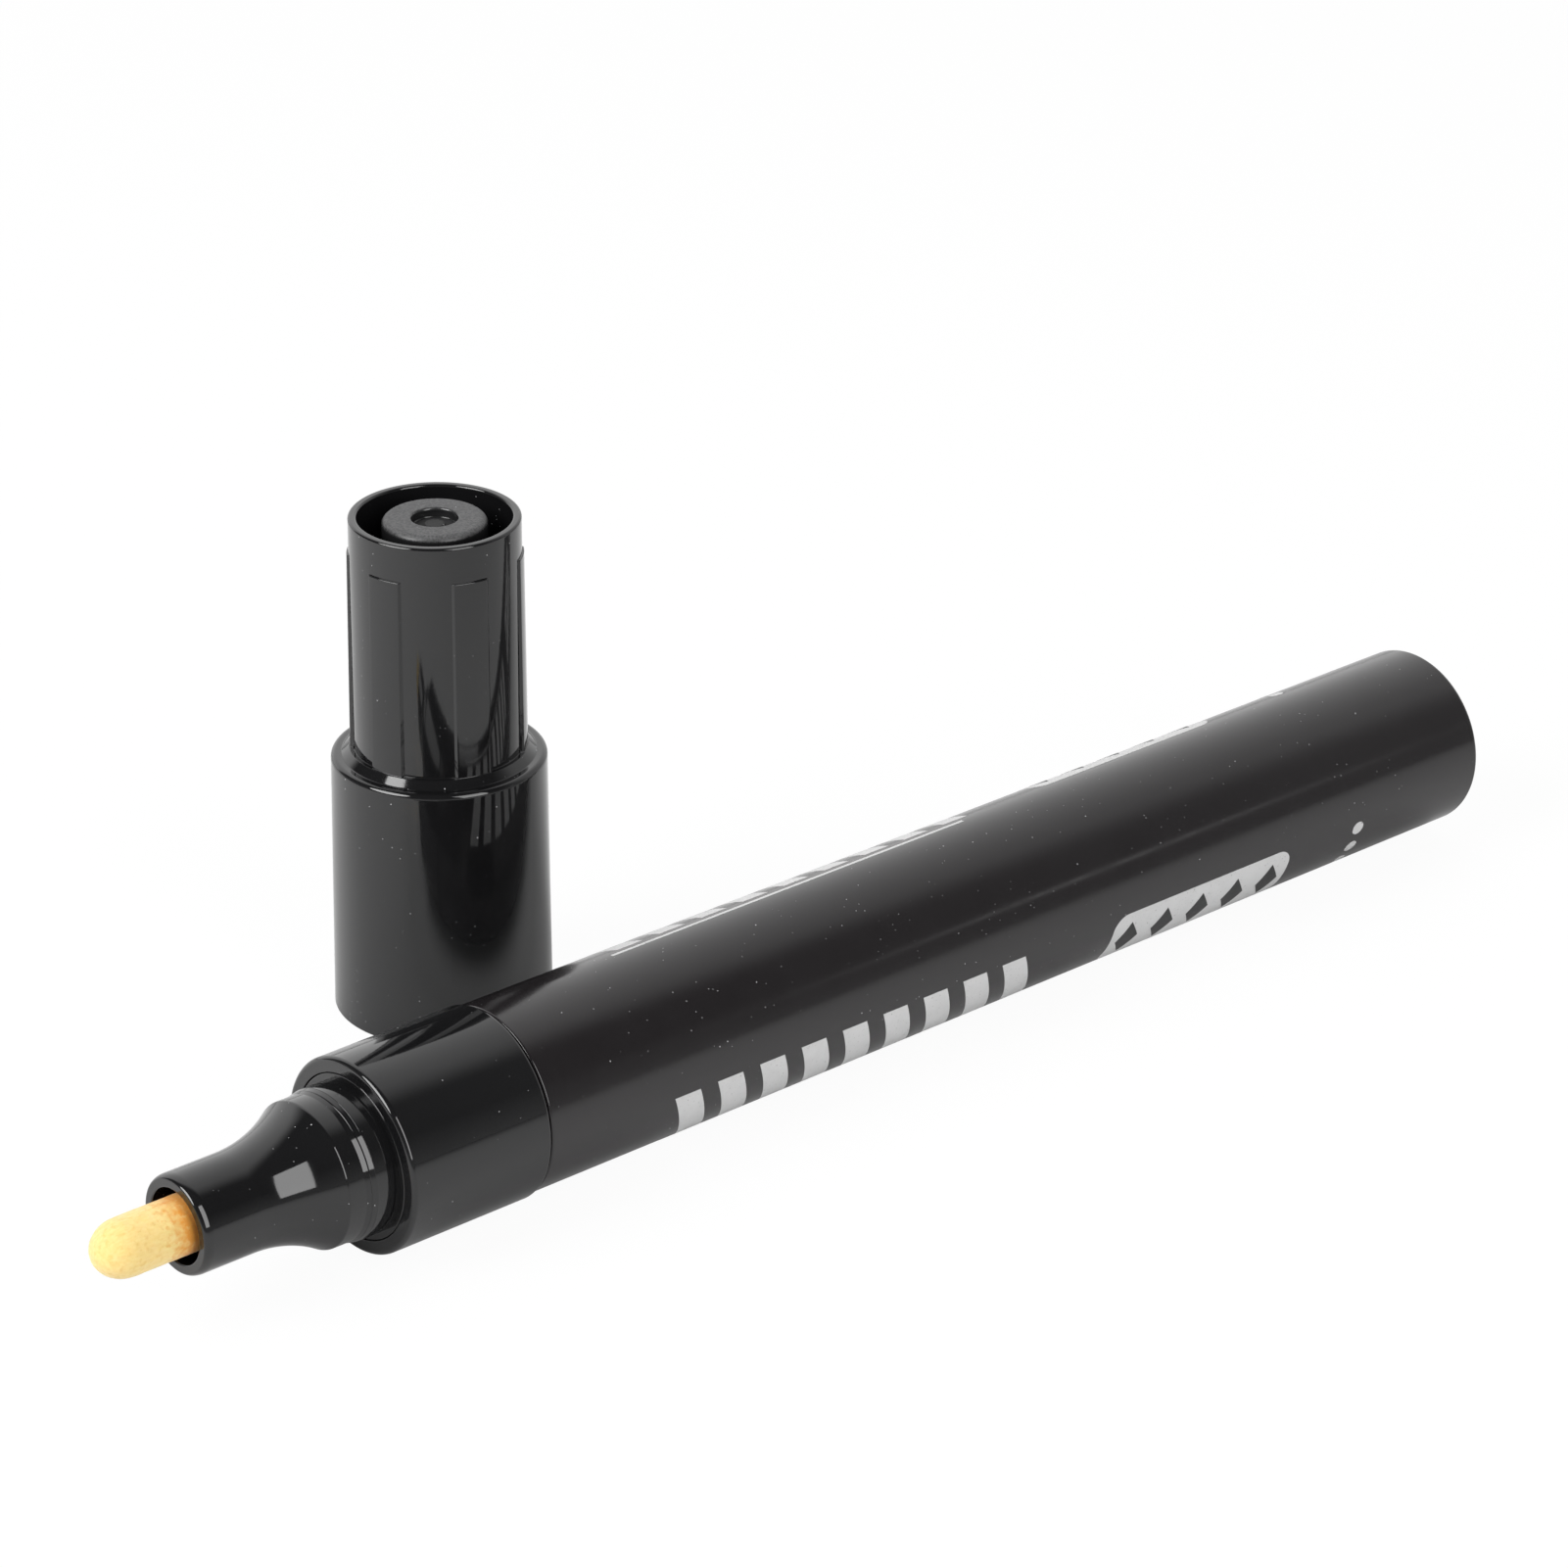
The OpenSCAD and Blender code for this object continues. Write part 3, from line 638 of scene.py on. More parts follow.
def make_nozzle():
    face = COLLAR_LENGTH - FLANGE_SEEN_SINK
    ring = COLLAR_LENGTH + RING_LENGTH
    groove = ring + RING_CONE / 2
    groove_r = (BASE_R + SHOULDER_R) / 2
    chamber = SHANK_R - SHANK_WALL
    guide_low = GUIDE_TOP - GUIDE_LENGTH
    # The shoulder's rounding meets the land behind it and the flare smoothly
    flare_x = TIP_R + FLARE_R
    flare_top = NOZZLE_TIP - TIP_LENGTH
    round_x = SHOULDER_R - SHOULDER_ROUND
    reach = FLARE_R + SHOULDER_ROUND
    turn = math.acos((flare_x - round_x) / reach)
    round_z = flare_top - reach * math.sin(turn)
    turn = math.degrees(turn)
    profile = [(chamber, NOZZLE_REAR), (SHANK_R, NOZZLE_REAR), (SHANK_R, SHELF), (FLANGE_R, SHELF)]
    profile += arc(FLANGE_R - FLANGE_EDGE_R, face - FLANGE_EDGE_R, FLANGE_EDGE_R, 0, 90)
    profile += [(BASE_R, face)]
    ring_edge = (BASE_R - RING_EDGE_R, ring - RING_EDGE_R, RING_EDGE_R)
    profile += arc(*ring_edge, 0, RING_EDGE_TURN, FINE_EDGE_STEPS)
    profile += [(groove_r, groove - GROOVE), (groove_r - GROOVE, groove), (groove_r, groove + GROOVE)]
    profile += [(SHOULDER_R, ring + RING_CONE)]
    profile += arc(round_x, round_z, SHOULDER_ROUND, 0, turn)[:-1]
    profile += arc(flare_x, flare_top, FLARE_R, 180 + turn, 180, FLARE_STEPS)
    for across, up in arc(0, 0, 1, 0, 90):
        profile.append((TIP_R - LIP_R * (1 - across), NOZZLE_TIP - LIP_LENGTH * (1 - up)))
    mouth_edge = NOZZLE_TIP - MOUTH_LIP_R
    profile += arc(MOUTH_R + MOUTH_LIP_R, mouth_edge, MOUTH_LIP_R, 90, 180, FINE_EDGE_STEPS)
    profile = held(profile + [(MOUTH_R, GUIDE_TOP)], closed=False)
    profile += [(GUIDE_R, GUIDE_TOP, guide_radius), (GUIDE_R, guide_low, guide_radius)]
    profile += [(chamber, guide_low)]
    dress(lathe("nozzle_body", profile, on_marker), "marker", GLOSS, "black_plastic", "nozzle")


# Nib
NIB_END = 2.6
NIB_END_STEPS = 40
NIB_CHAMFER = 0.3
NIB_STEPS = 200
FELT_PITCH = 0.09
FELT_RELIEF = 0.035
FELT_SHARE = 0.6
FELT_SINK = 0.3
FIBRES_ALONG = 0.5
FIBRES_ROUND = 2.6
PITS = 1.6
PITS_SHIFT = 40


def felt_radius(radius, along, depth):
    """Radius of the felt at an angle: fibres that run along the nib, and pits between them."""
    def at(angle):
        across, up = radius * math.cos(angle), radius * math.sin(angle)
        fibres = noise.noise(Vector((along * FIBRES_ALONG, across * FIBRES_ROUND, up * FIBRES_ROUND)))
        pits = noise.noise(Vector((along * PITS, across * PITS, up * PITS + PITS_SHIFT)))
        return radius + depth * (FELT_SHARE * fibres + FELT_SHARE * pits - FELT_SINK)
    return at


def make_nib():
    round_z = NIB_TIP - NIB_END
    profile = [(0, NIB_REAR), (NIB_R - NIB_CHAMFER, NIB_REAR), (NIB_R, NIB_REAR + NIB_CHAMFER)]
    profile += [(NIB_R, GUIDE_TOP)]
    shown = GUIDE_TOP + FELT_PITCH
    while shown < round_z:
        profile.append((NIB_R, shown, felt_radius(NIB_R, shown, FELT_RELIEF)))
        shown += FELT_PITCH
    for i in range(NIB_END_STEPS):
        turn = math.radians(90 * i / NIB_END_STEPS)
        radius, along = NIB_R * math.cos(turn), round_z + NIB_END * math.sin(turn)
        profile.append((radius, along, felt_radius(radius, along, FELT_RELIEF * math.cos(turn))))
    profile += [(0, NIB_TIP)]
    bullet = lathe("nib_felt_bullet", profile, on_marker, even_turn(NIB_STEPS))
    dress(bullet, "nib_and_plunger", FELT, "felt", "nib")


# Valve spring, whose real coil shortens as the nib is pressed; here it is built at one length
SPRING_WIRE_R = 0.24
SPRING_TURNS = 7
SPRING_END_PITCH = 0.5
SPRING_SIDES = 12
SPRING_STEPS = 28


def coil_place(turns, rear, front):
    """Place along the marker of the wire's middle after some turns. The turn at each end lies closed."""
    open_run = front - rear - 2 * SPRING_END_PITCH
    if turns < 1:
        return rear + SPRING_END_PITCH * turns
    if turns > SPRING_TURNS + 1:
        return front - SPRING_END_PITCH * (SPRING_TURNS + 2 - turns)
    return rear + SPRING_END_PITCH + open_run * (turns - 1) / SPRING_TURNS


def make_spring():
    low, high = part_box("valve_spring")
    rear = station(high.x) + SPRING_WIRE_R
    front = station(low.x) - SPRING_WIRE_R
    mean_r = size("valve_spring").y / 2 - SPRING_WIRE_R
    rings = (SPRING_TURNS + 2) * SPRING_STEPS
    points = []
    for i in range(rings + 1):
        along = coil_place(i / SPRING_STEPS, rear, front)
        angle = TURN * i / SPRING_STEPS
        for turn in even_turn(SPRING_SIDES):
            radius = mean_r + SPRING_WIRE_R * math.cos(turn)
            points.append(on_marker(radius, angle, along + SPRING_WIRE_R * math.sin(turn)))
    rear_end = list(range(SPRING_SIDES))
    front_end = [rings * SPRING_SIDES + k for k in reversed(range(SPRING_SIDES))]
    faces = [rear_end, front_end]
    for i in range(rings):
        here, there = i * SPRING_SIDES, (i + 1) * SPRING_SIDES
        for k in range(SPRING_SIDES):
            beside = (k + 1) % SPRING_SIDES
            faces.append([here + k, there + k, there + beside, here + beside])
    coil = mesh_object("valve_coil", points, faces)
    dress(coil, "marker", SPRING_STEEL, "spring_steel", "valve_spring")
    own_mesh(coil)


# Cap
CAP_ROOM = 0.08
CAP_BORE_R = COLLAR_R + CAP_ROOM
SLEEVE_DRAFT = 0.2
SLEEVE_HEIGHT = 21.95
SHOULDER_THICK = 1.5
SHOULDER_EDGE_R = 0.45
MOUTH_EDGE_R = 0.15
MOUTH_EDGE_STEPS = 8
TUBE_R = 6.725
TUBE_FOOT_R = 6.745
TUBE_BORE_R = 6.025
FOOT_HEIGHT = 0.6
FOOT_REACH = 0.6
FOOT_LIP = 0.08
FOOT_ROUND = 0.12
FOOT_EDGE_R = 0.04
FOOT_FILLET_R = 0.05
RIM_R = 0.21
STOP_Z = 14.5
STOP_R = 6.83
SEAL_SEAT_R = 6.175
SEAL_FLANGE_T = 1.2
SEAL_LEDGE = SEAL_FOOT + SEAL_FLANGE_T
SNAP_BITE = 0.08
SNAP_R = COLLAR_R - SNAP_BITE
SNAP_TOP = 1.5
SNAP_LENGTH = 0.9
RIB_COUNT = 6
RIB_PITCH = TURN / RIB_COUNT
RIB_WIDTH = 2.8
RIB_HEIGHT = 0.26
RIB_TOP_HEIGHT = 0.15
RIB_FLANK = 0.13
RIB_DROP = 3
RIB_TOP = CAP_HEIGHT - RIB_DROP
RIB_EDGE_R = 0.08
LEDGE_RISE = 0.01
RIB_TURN = math.radians(16)
RIB_TOP_HALF = math.asin(RIB_WIDTH / 2 / (TUBE_R + RIB_HEIGHT))
RIB_FOOT_HALF = math.asin((RIB_WIDTH / 2 + RIB_FLANK) / TUBE_R)
FLANK_MARGIN = 0.015
LAND_STEPS = 8
FLANK_STEPS = 10
GAP_STEPS = 12


def rib_share(angle):
    """How much of a rib's height stands at an angle round the tube: 1 on the rib, 0 between ribs."""
    off = abs((angle - RIB_TURN + RIB_PITCH / 2) % RIB_PITCH - RIB_PITCH / 2)
    return min(1.0, max(0.0, (RIB_FOOT_HALF - off) / (RIB_FOOT_HALF - RIB_TOP_HALF)))


def ribbed(radius, height, share=1):
    """Point of the tube whose radius follows the ribs, which sink towards their tops."""
    climbed = (height - SLEEVE_HEIGHT) / (RIB_TOP - SLEEVE_HEIGHT)
    stands = share * (RIB_HEIGHT + (RIB_TOP_HEIGHT - RIB_HEIGHT) * climbed)

    def at(angle):
        return radius + stands * rib_share(angle)
    return (radius, height, at)


def tube_radius(height):
    """Radius of the tube between its ribs, which narrows a little towards the top."""
    return TUBE_FOOT_R + (TUBE_R - TUBE_FOOT_R) * (height - SLEEVE_HEIGHT) / (CAP_HEIGHT - SLEEVE_HEIGHT)


def cap_angles():
    """Angles round the cap, close together on the ribs' flanks."""
    flank_in = RIB_TOP_HALF * (1 - FLANK_MARGIN)
    flank_out = RIB_FOOT_HALF * (1 + FLANK_MARGIN)
    offs = [flank_in * i / LAND_STEPS for i in range(LAND_STEPS)]
    offs += [flank_in + (flank_out - flank_in) * i / FLANK_STEPS for i in range(FLANK_STEPS)]
    offs += [flank_out + (RIB_PITCH / 2 - flank_out) * i / GAP_STEPS for i in range(GAP_STEPS + 1)]
    one_rib = sorted({-off for off in offs[1:-1]} | set(offs))
    return [RIB_TURN + RIB_PITCH * i + off for i in range(RIB_COUNT) for off in one_rib]


def cap_outside():
    """Profile of the cap's outside from its mouth to its rim: sleeve, shoulder, foot ring and ribs."""
    shoulder_edge = CAP_MOUTH_R - SLEEVE_DRAFT - SHOULDER_EDGE_R
    ledge_r = TUBE_FOOT_R + RIB_HEIGHT + FOOT_LIP
    ledge_z = SLEEVE_HEIGHT + FOOT_HEIGHT
    cone_low = (ledge_r + FOOT_REACH, SLEEVE_HEIGHT)
    cone_high = (ledge_r, ledge_z)
    plain = arc(CAP_MOUTH_R - MOUTH_EDGE_R, MOUTH_EDGE_R, MOUTH_EDGE_R, -90, 0, MOUTH_EDGE_STEPS)
    plain += arc(shoulder_edge, SLEEVE_HEIGHT - SHOULDER_EDGE_R, SHOULDER_EDGE_R, 0, 90)
    plain += rounded(plain[-1], cone_low, cone_high, FOOT_ROUND)
    plain += rounded(cone_low, cone_high, (TUBE_FOOT_R, ledge_z), FOOT_EDGE_R)
    outside = held(plain, closed=False)
    below_ribs = RIB_TOP - RIB_EDGE_R - HOLD
    fillet_z = ledge_z + FOOT_FILLET_R
    fillet = arc(TUBE_FOOT_R + FOOT_FILLET_R, fillet_z, FOOT_FILLET_R, -90, -180, EDGE_STEPS)
    for radius, height in held(fillet + [(tube_radius(below_ribs), below_ribs)], closed=False):
        outside.append(ribbed(radius, height))
    for across, up in arc(0, 0, RIB_EDGE_R, 0, 90, EDGE_STEPS):
        height = RIB_TOP - RIB_EDGE_R + up
        share = 1 - (RIB_EDGE_R - across) / RIB_TOP_HEIGHT
        outside.append(ribbed(tube_radius(height), height, share))
    for height in (RIB_TOP + LEDGE_RISE, RIB_TOP + LEDGE_RISE + HOLD, CAP_HEIGHT - RIM_R - HOLD):
        outside.append((tube_radius(height), height))
    return outside


def cap_inside():
    """Profile of the cap's rim and inside, down to its mouth: seal's seat, stop and snap bead."""
    rim = CAP_HEIGHT - RIM_R
    sleeve_top = SLEEVE_HEIGHT - SHOULDER_THICK
    snap_mid = SNAP_TOP - SNAP_LENGTH / 2
    inside = arc(TUBE_R - RIM_R, rim, RIM_R, 0, 90) + arc(TUBE_BORE_R + RIM_R, rim, RIM_R, 90, 180)
    inside += [(TUBE_BORE_R, SEAL_LEDGE), (SEAL_SEAT_R, SEAL_LEDGE), (SEAL_SEAT_R, sleeve_top)]
    inside += [(STOP_R, sleeve_top), (STOP_R, STOP_Z), (CAP_BORE_R, STOP_Z), (CAP_BORE_R, SNAP_TOP)]
    inside += [(SNAP_R, snap_mid), (CAP_BORE_R, SNAP_TOP - SNAP_LENGTH), (CAP_BORE_R, 0)]
    return held(inside, closed=False)


def make_cap_shell():
    shell = lathe("cap_moulding", cap_outside() + cap_inside(), on_cap, cap_angles())
    dress(shell, "cap", GLOSS, "black_plastic", "cap_shell")


# Inner seal
SEAL_ROOM = 0.05
SOCKET_R = TIP_R + SEAL_ROOM
SOCKET_LEAD = 1.8
SOCKET_LENGTH = 5.2
SOCKET_FLARE = 0.65
SEAL_WALL = 0.9
SEAL_BODY_R = SOCKET_R + SEAL_WALL
SEAL_FLANGE_R = SEAL_SEAT_R - PRESS_ROOM
SEAL_END_R = 4.13
SEAL_END_ROUND = 0.6
SEAL_END_WALL = 1.9
NIB_SIDE_ROOM = 0.75
NIB_CHAMBER_R = NIB_R + NIB_SIDE_ROOM
DIMPLE_DEPTH = 0.8
DIMPLE_LIP_STEPS = 8
GATE_R = 0.8
GATE_HEIGHT = 0.3
VENT_COUNT = 4
VENT_WIDTH = 2.4


def flange_radius(angle):
    """Radius of the seal's flange, with a flat vent notch at each quarter."""
    floor = SEAL_BODY_R + PRESS_ROOM
    pitch = TURN / VENT_COUNT
    off = (angle + pitch / 2) % pitch - pitch / 2
    if abs(floor * math.tan(off)) < VENT_WIDTH / 2:
        return floor / math.cos(off)
    return SEAL_FLANGE_R


def make_seal():
    socket = SEAL_FOOT + SOCKET_LEAD
    socket_top = socket + SOCKET_LENGTH
    neck = socket_top + SEAL_WALL
    roof = SEAL_TOP - SEAL_END_WALL
    floor = SEAL_TOP - DIMPLE_DEPTH
    gate = floor + GATE_HEIGHT
    profile = [(SEAL_BODY_R, SEAL_LEDGE), (SEAL_BODY_R, neck), (SEAL_END_R, neck + SEAL_WALL)]
    profile += arc(SEAL_END_R - SEAL_END_ROUND, SEAL_TOP - SEAL_END_ROUND, SEAL_END_ROUND, 0, 90)
    profile += arc(DIMPLE_R + DIMPLE_LIP, SEAL_TOP - DIMPLE_LIP, DIMPLE_LIP, 90, 180, DIMPLE_LIP_STEPS)
    profile += arc(DIMPLE_R - DIMPLE_ROUND, floor + DIMPLE_ROUND, DIMPLE_ROUND, 0, -90, EDGE_STEPS)
    profile += [(GATE_R, floor)]
    profile += arc(GATE_R - DIMPLE_ROUND, gate - DIMPLE_ROUND, DIMPLE_ROUND, 0, 90, EDGE_STEPS)
    profile += [(0, gate), (0, roof), (NIB_CHAMBER_R, roof), (NIB_CHAMBER_R, socket_top)]
    profile += [(SOCKET_R, socket_top), (SOCKET_R, socket), (SOCKET_R + SOCKET_FLARE, SEAL_FOOT)]
    profile = held(profile, closed=False)
    profile += [(SEAL_FLANGE_R, SEAL_FOOT, flange_radius), (SEAL_FLANGE_R, SEAL_LEDGE, flange_radius)]
    dress(lathe("seal_cup", profile, on_cap), "cap", SEAL_PLASTIC, "seal_plastic", "cap_inner_seal")


# Print on two sides of the barrel, placed from the seam: bars, a stripe, a panel of lozenges, and dots
INK_SINK = 0.03
INK_PROUD = 0.015
INK_ROWS = 12
OVERPRINT = 0.012
PRINT_TURNS = [math.radians(-29), math.radians(128)]
BAR_COUNT = 9
BAR_START = 13
BAR_PITCH = 4.2
BAR_WIDTH = 2.5
BAR_LEAN = 2.2
BAR_HALF = 2.9
STRIPE_HALF = 0.16
STRIPE_DROP = 3.6
PANEL_START = 58
PANEL_LENGTH = 20
PANEL_HALF = 2.9
PANEL_ROUND = 1.4
PANEL_ROUND_STEPS = 8
LOZENGE_COUNT = 5
LOZENGE_HALF_WIDTH = 1.25
LOZENGE_HALF = 1.9
LOZENGE_STEPS = 8
DOT_COUNT = 3
DOT_PLACE = 86
DOT_PITCH = 2.1
DOT_R = 0.62
DOT_STEPS = 12


def slab(points, faces, columns, height, turn):
    """Adds a closed curved slab of ink.

    A column is (back from the seam, low edge, high edge), and an edge is (shift along, way round).
    """
    start = len(points)
    for radius in (BARREL_R - INK_SINK, BARREL_R + height):
        for back, low, high in columns:
            for j in range(INK_ROWS + 1):
                along = back + low[0] + (high[0] - low[0]) * j / INK_ROWS
                way_round = low[1] + (high[1] - low[1]) * j / INK_ROWS
                points.append(on_marker(radius, turn + way_round / BARREL_R, -along))
    count = len(columns) * (INK_ROWS + 1)

    def at(layer, i, j):
        return start + layer * count + i * (INK_ROWS + 1) + j

    end = INK_ROWS
    last = len(columns) - 1
    for i in range(last):
        for j in range(INK_ROWS):
            faces.append([at(1, i, j), at(1, i + 1, j), at(1, i + 1, j + 1), at(1, i, j + 1)])
            faces.append([at(0, i, j), at(0, i, j + 1), at(0, i + 1, j + 1), at(0, i + 1, j)])
        faces.append([at(0, i, 0), at(0, i + 1, 0), at(1, i + 1, 0), at(1, i, 0)])
        faces.append([at(0, i, end), at(1, i, end), at(1, i + 1, end), at(0, i + 1, end)])
    for j in range(INK_ROWS):
        faces.append([at(0, 0, j), at(1, 0, j), at(1, 0, j + 1), at(0, 0, j + 1)])
        faces.append([at(0, last, j), at(0, last, j + 1), at(1, last, j + 1), at(1, last, j)])


def upright(back, low, high):
    """Column of a slab that runs straight round the barrel."""
    return (back, (0, low), (0, high))


def make_print(name, look, slot, shapes, height):
    points, faces = [], []
    for turn in PRINT_TURNS:
        for columns in shapes:
            slab(points, faces, columns, height, turn)
    dress(mesh_object(name, points, faces), "marker", look, slot)


def bars():
    """Leaning bars, and the stripe beside them."""
    shapes = []
    low, high = (BAR_LEAN / 2, -BAR_HALF), (-BAR_LEAN / 2, BAR_HALF)
    for i in range(BAR_COUNT):
        back = BAR_START + i * BAR_PITCH
        shapes.append([(back, low, high), (back + BAR_WIDTH, low, high)])
    end = BAR_START + (BAR_COUNT - 1) * BAR_PITCH + BAR_WIDTH
    low, high = -STRIPE_DROP - STRIPE_HALF, -STRIPE_DROP + STRIPE_HALF
    shapes.append([upright(BAR_START, low, high), upright(end, low, high)])
    return shapes


def panel():
    """One panel with round corners."""
    columns = []
    for i in range(PANEL_ROUND_STEPS + 1):
        turn = math.radians(90 * i / PANEL_ROUND_STEPS)
        half = PANEL_HALF - PANEL_ROUND * (1 - math.sin(turn))
        columns.append((PANEL_ROUND * (1 - math.cos(turn)), half))
    columns += [(PANEL_LENGTH - inset, half) for inset, half in reversed(columns)]
    return [[upright(PANEL_START + inset, -half, half) for inset, half in columns]]


def dots():
    """Row of dots round the barrel."""
    shapes = []
    for i in range(DOT_COUNT):
        mid = DOT_PITCH * (i - (DOT_COUNT - 1) / 2)
        columns = []
        for step in range(1, DOT_STEPS):
            turn = math.pi * step / DOT_STEPS
            half = DOT_R * math.sin(turn)
            columns.append(upright(DOT_PLACE - DOT_R * math.cos(turn), mid - half, mid + half))
        shapes.append(columns)
    return shapes


def lozenges():
    """Row of lozenges along the panel."""
    shapes = []
    pitch = PANEL_LENGTH / LOZENGE_COUNT
    for i in range(LOZENGE_COUNT):
        mid = PANEL_START + pitch * (i + 0.5)
        columns = []
        for step in range(LOZENGE_STEPS + 1):
            share = step / LOZENGE_STEPS
            low = (LOZENGE_HALF_WIDTH * (share - 1), -LOZENGE_HALF * share)
            high = (LOZENGE_HALF_WIDTH * share, LOZENGE_HALF * (1 - share))
            columns.append((mid, low, high))
        shapes.append(columns)
    return shapes


make_barrel()
make_collar()
make_nozzle()
make_nib()
make_spring()
make_cap_shell()
make_seal()
make_print("print_silver", SILVER_INK, "barrel_paint", bars() + panel() + dots(), INK_PROUD)
make_print("print_lozenges", BLACK_INK, "barrel_paint", lozenges(), INK_PROUD + OVERPRINT)


# Floor, with its places in metres
WHITE = (1, 1, 1)
FLOOR_HALF = 3.0
FLOOR_CORNERS = ((-1, -1), (1, -1), (1, 1), (-1, 1))
# Painted shade of the floor: its colour darkens towards the front, seen in reflections and diffuse light
PAINTED_FALLOFF_SPAN = (-0.35, 0.1)
PAINTED_FALLOFF_LEVELS = (0.3, 0.94)
GLOW_SEEN = 0.95
GLOW_IN_GLOSS = 0.04


def straight_rays(tree):
    """Share of the rays that come straight or through glass from the camera."""
    rays = add(tree, "ShaderNodeLightPath").outputs
    return maths(tree, "MAXIMUM", rays["Is Camera Ray"], rays["Is Transmission Ray"])


def make_floor():
    """White paper that keeps the object's shadow and glows white to the camera.

    In reflections and to diffuse light its colour darkens towards the front: painted shade that stands
    for paper away from its lamps.
    """
    points = [(x * FLOOR_HALF, y * FLOOR_HALF, cad_low.z) for x, y in FLOOR_CORNERS]
    floor = mesh_object("floor", points, [[0, 1, 2, 3]])
    made = bpy.data.materials.new("white_floor")
    made.use_nodes = True
    tree = made.node_tree
    tree.nodes.clear()
    backward = add(tree, "ShaderNodeSeparateXYZ", {"Vector": place_on(tree)}).outputs["Y"]
    painted_falloff = ranged(tree, backward, *PAINTED_FALLOFF_SPAN, *PAINTED_FALLOFF_LEVELS, "SMOOTHSTEP")
    straight = straight_rays(tree)
    paper = add(tree, "ShaderNodeBsdfDiffuse", {"Color": blend(tree, straight, painted_falloff, WHITE)})
    glow = add(tree, "ShaderNodeEmission", {"Strength": 1.0})
    seen = maths(tree, "MULTIPLY", straight, GLOW_SEEN)
    glossy = add(tree, "ShaderNodeLightPath").outputs["Is Glossy Ray"]
    mirrored = maths(tree, "MULTIPLY", glossy, GLOW_IN_GLOSS)
    share = maths(tree, "MAXIMUM", seen, mirrored)
    mix = {0: share, 1: paper.outputs["BSDF"], 2: glow.outputs["Emission"]}
    surface = add(tree, "ShaderNodeMixShader", mix)
    add(tree, "ShaderNodeOutputMaterial", {"Surface": surface.outputs["Shader"]})
    floor.data.materials.append(made)


# World: a studio that is dim in front and white behind. A span is of a direction's share along an axis
DIM_SPAN = (0.49, 0.72)
DIM_LEVELS = (0.05, 0.34)
WHITE_SPAN = (0.0, 0.8)
WHITE_LEVELS = (0.75, 1.35)
STEP_SPAN = (0.18, 0.6)
LEFT_DIM_SPAN = (0.5, 0.8)
HORIZON_SPAN = (0.0, 0.45)
HORIZON_LEVELS = (0.25, 0.0)
HORIZON_FADE_SPAN = (0.57, 0.63)


def make_world():
    world = bpy.data.worlds.new("studio")
    world.use_nodes = True
    bpy.context.scene.world = world
    tree = world.node_tree
    tree.nodes.clear()
    direction = add(tree, "ShaderNodeTexCoord").outputs["Generated"]
    shares = add(tree, "ShaderNodeSeparateXYZ", {"Vector": direction}).outputs
    near_floor = ranged(tree, shares["Z"], *HORIZON_SPAN, *HORIZON_LEVELS)
    faded = ranged(tree, shares["X"], *HORIZON_FADE_SPAN, 1, 0)
    horizon = maths(tree, "MULTIPLY", near_floor, faded)
    dim = maths(tree, "ADD", ranged(tree, shares["X"], *DIM_SPAN, *DIM_LEVELS), horizon)
    white_level = ranged(tree, shares["Y"], *WHITE_SPAN, *WHITE_LEVELS)
    low = ranged(tree, shares["Z"], *LEFT_DIM_SPAN, 1, 0)
    leftward = maths(tree, "MULTIPLY", maths(tree, "MINIMUM", shares["X"], 0.0), low)
    back_right = maths(tree, "ADD", maths(tree, "ADD", shares["X"], leftward), shares["Y"])
    step = ranged(tree, back_right, *STEP_SPAN, 0, 1, "SMOOTHSTEP")
    rise = maths(tree, "MULTIPLY", step, maths(tree, "SUBTRACT", white_level, dim))
    level = maths(tree, "ADD", dim, rise)
    room = add(tree, "ShaderNodeBackground", {"Color": (*WHITE, 1), "Strength": level})
    white = add(tree, "ShaderNodeBackground", {"Color": (*WHITE, 1), "Strength": 1.0})
    mix = {0: straight_rays(tree), 1: room.outputs["Background"], 2: white.outputs["Background"]}
    surface = add(tree, "ShaderNodeMixShader", mix)
    add(tree, "ShaderNodeOutputWorld", {"Surface": surface.outputs["Shader"]})


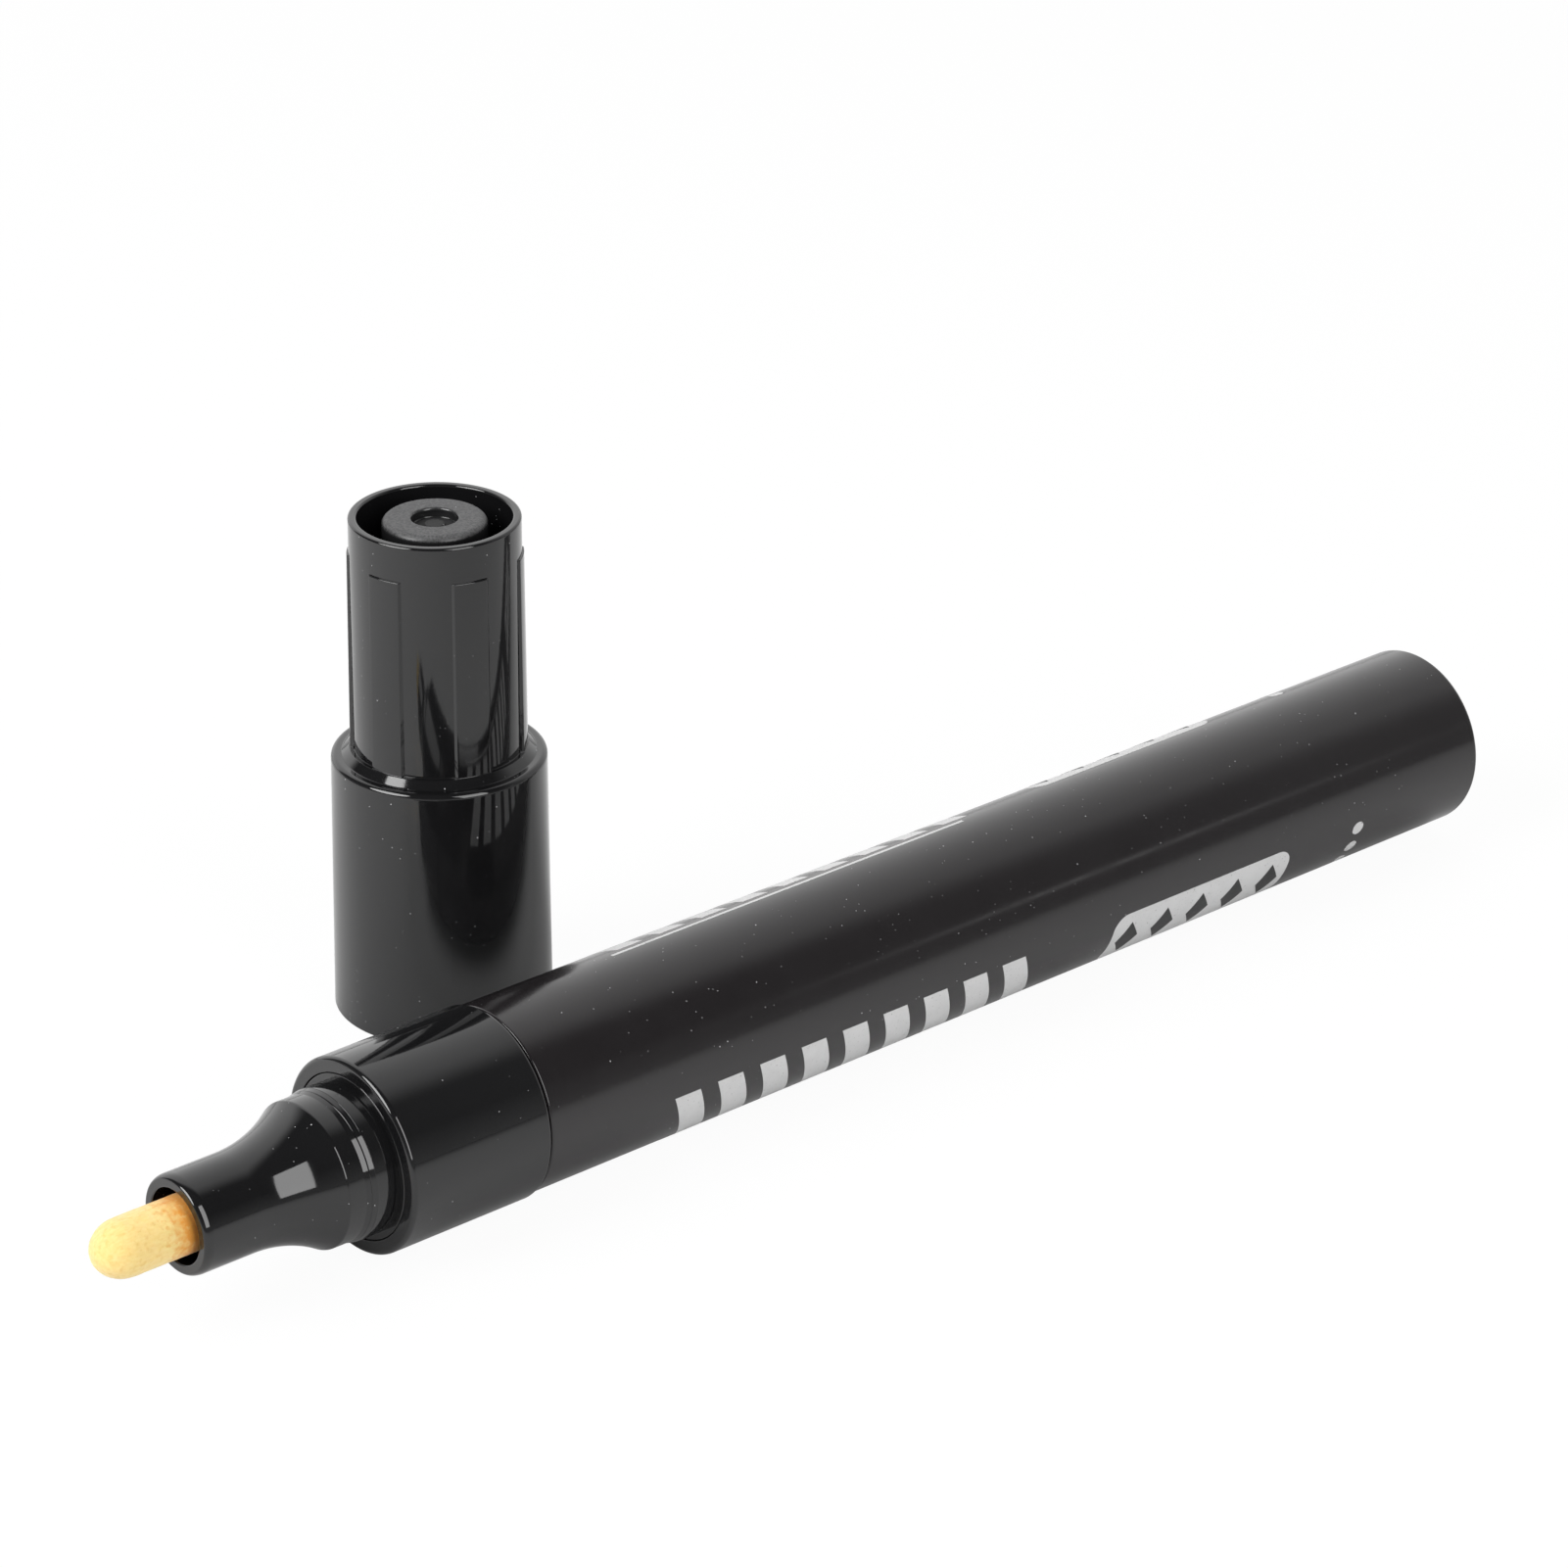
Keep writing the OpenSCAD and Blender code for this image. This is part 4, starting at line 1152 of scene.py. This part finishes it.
# Lamps, with their sizes in metres
def make_softbox(name, shape, towards, distance, width, height, radiance):
    """Area lamp that faces the nozzle from a direction."""
    lamp = bpy.data.lights.new(name, "AREA")
    lamp.shape = shape
    lamp.size = width
    lamp.size_y = height
    lamp.energy = radiance * math.pi * width * height
    made = bpy.data.objects.new(name, lamp)
    direction = Vector(towards).normalized()
    made.location = on_marker(0, 0, NOZZLE_TIP) + direction * distance
    made.rotation_euler = direction.to_track_quat("Z", "Y").to_euler()
    bpy.context.scene.collection.objects.link(made)


def make_lamps():
    """A key lamp in front, a round lamp at the left, and a thin strip for the streak on the barrel."""
    make_softbox(
        "key_softbox", "RECTANGLE", towards=(0.03, -0.847, 0.532),
        distance=0.8, width=0.4, height=0.68, radiance=4.4,
    )
    make_softbox(
        "side_softbox", "ELLIPSE", towards=(-0.754, 0.147, 0.64),
        distance=0.8, width=0.58, height=0.56, radiance=6.5,
    )
    make_softbox(
        "edge_strip", "RECTANGLE", towards=(0.6863, -0.6783, 0.2624),
        distance=0.836, width=0.075, height=0.03, radiance=1.5,
    )


# Camera, placed in millimetres from the floor below the seam
CAMERA_PLACE = Vector((-225.493, -290.673, 211.787))
LOOK_AT = Vector((28.97, 0, 25.07))
CAMERA_ROLL = 0.0096
LENS = 128.8
SENSOR = 36
CLIP_START = 10


def make_camera():
    camera = bpy.data.cameras.new("camera")
    camera.lens = LENS
    camera.sensor_width = SENSOR
    camera.clip_start = CLIP_START * MM
    made = bpy.data.objects.new("camera", camera)
    foot = Vector((SEAM.x, SEAM.y, cad_low.z))
    made.location = foot + MM * CAMERA_PLACE
    gaze = (LOOK_AT - CAMERA_PLACE).normalized()
    turn = gaze.to_track_quat("-Z", "Y").to_matrix()
    made.rotation_euler = (turn @ Matrix.Rotation(CAMERA_ROLL, 3, "Z")).to_euler()
    bpy.context.scene.collection.objects.link(made)
    bpy.context.scene.camera = made


make_floor()
make_world()
make_lamps()
make_camera()
bpy.context.scene.view_settings.view_transform = "Standard"
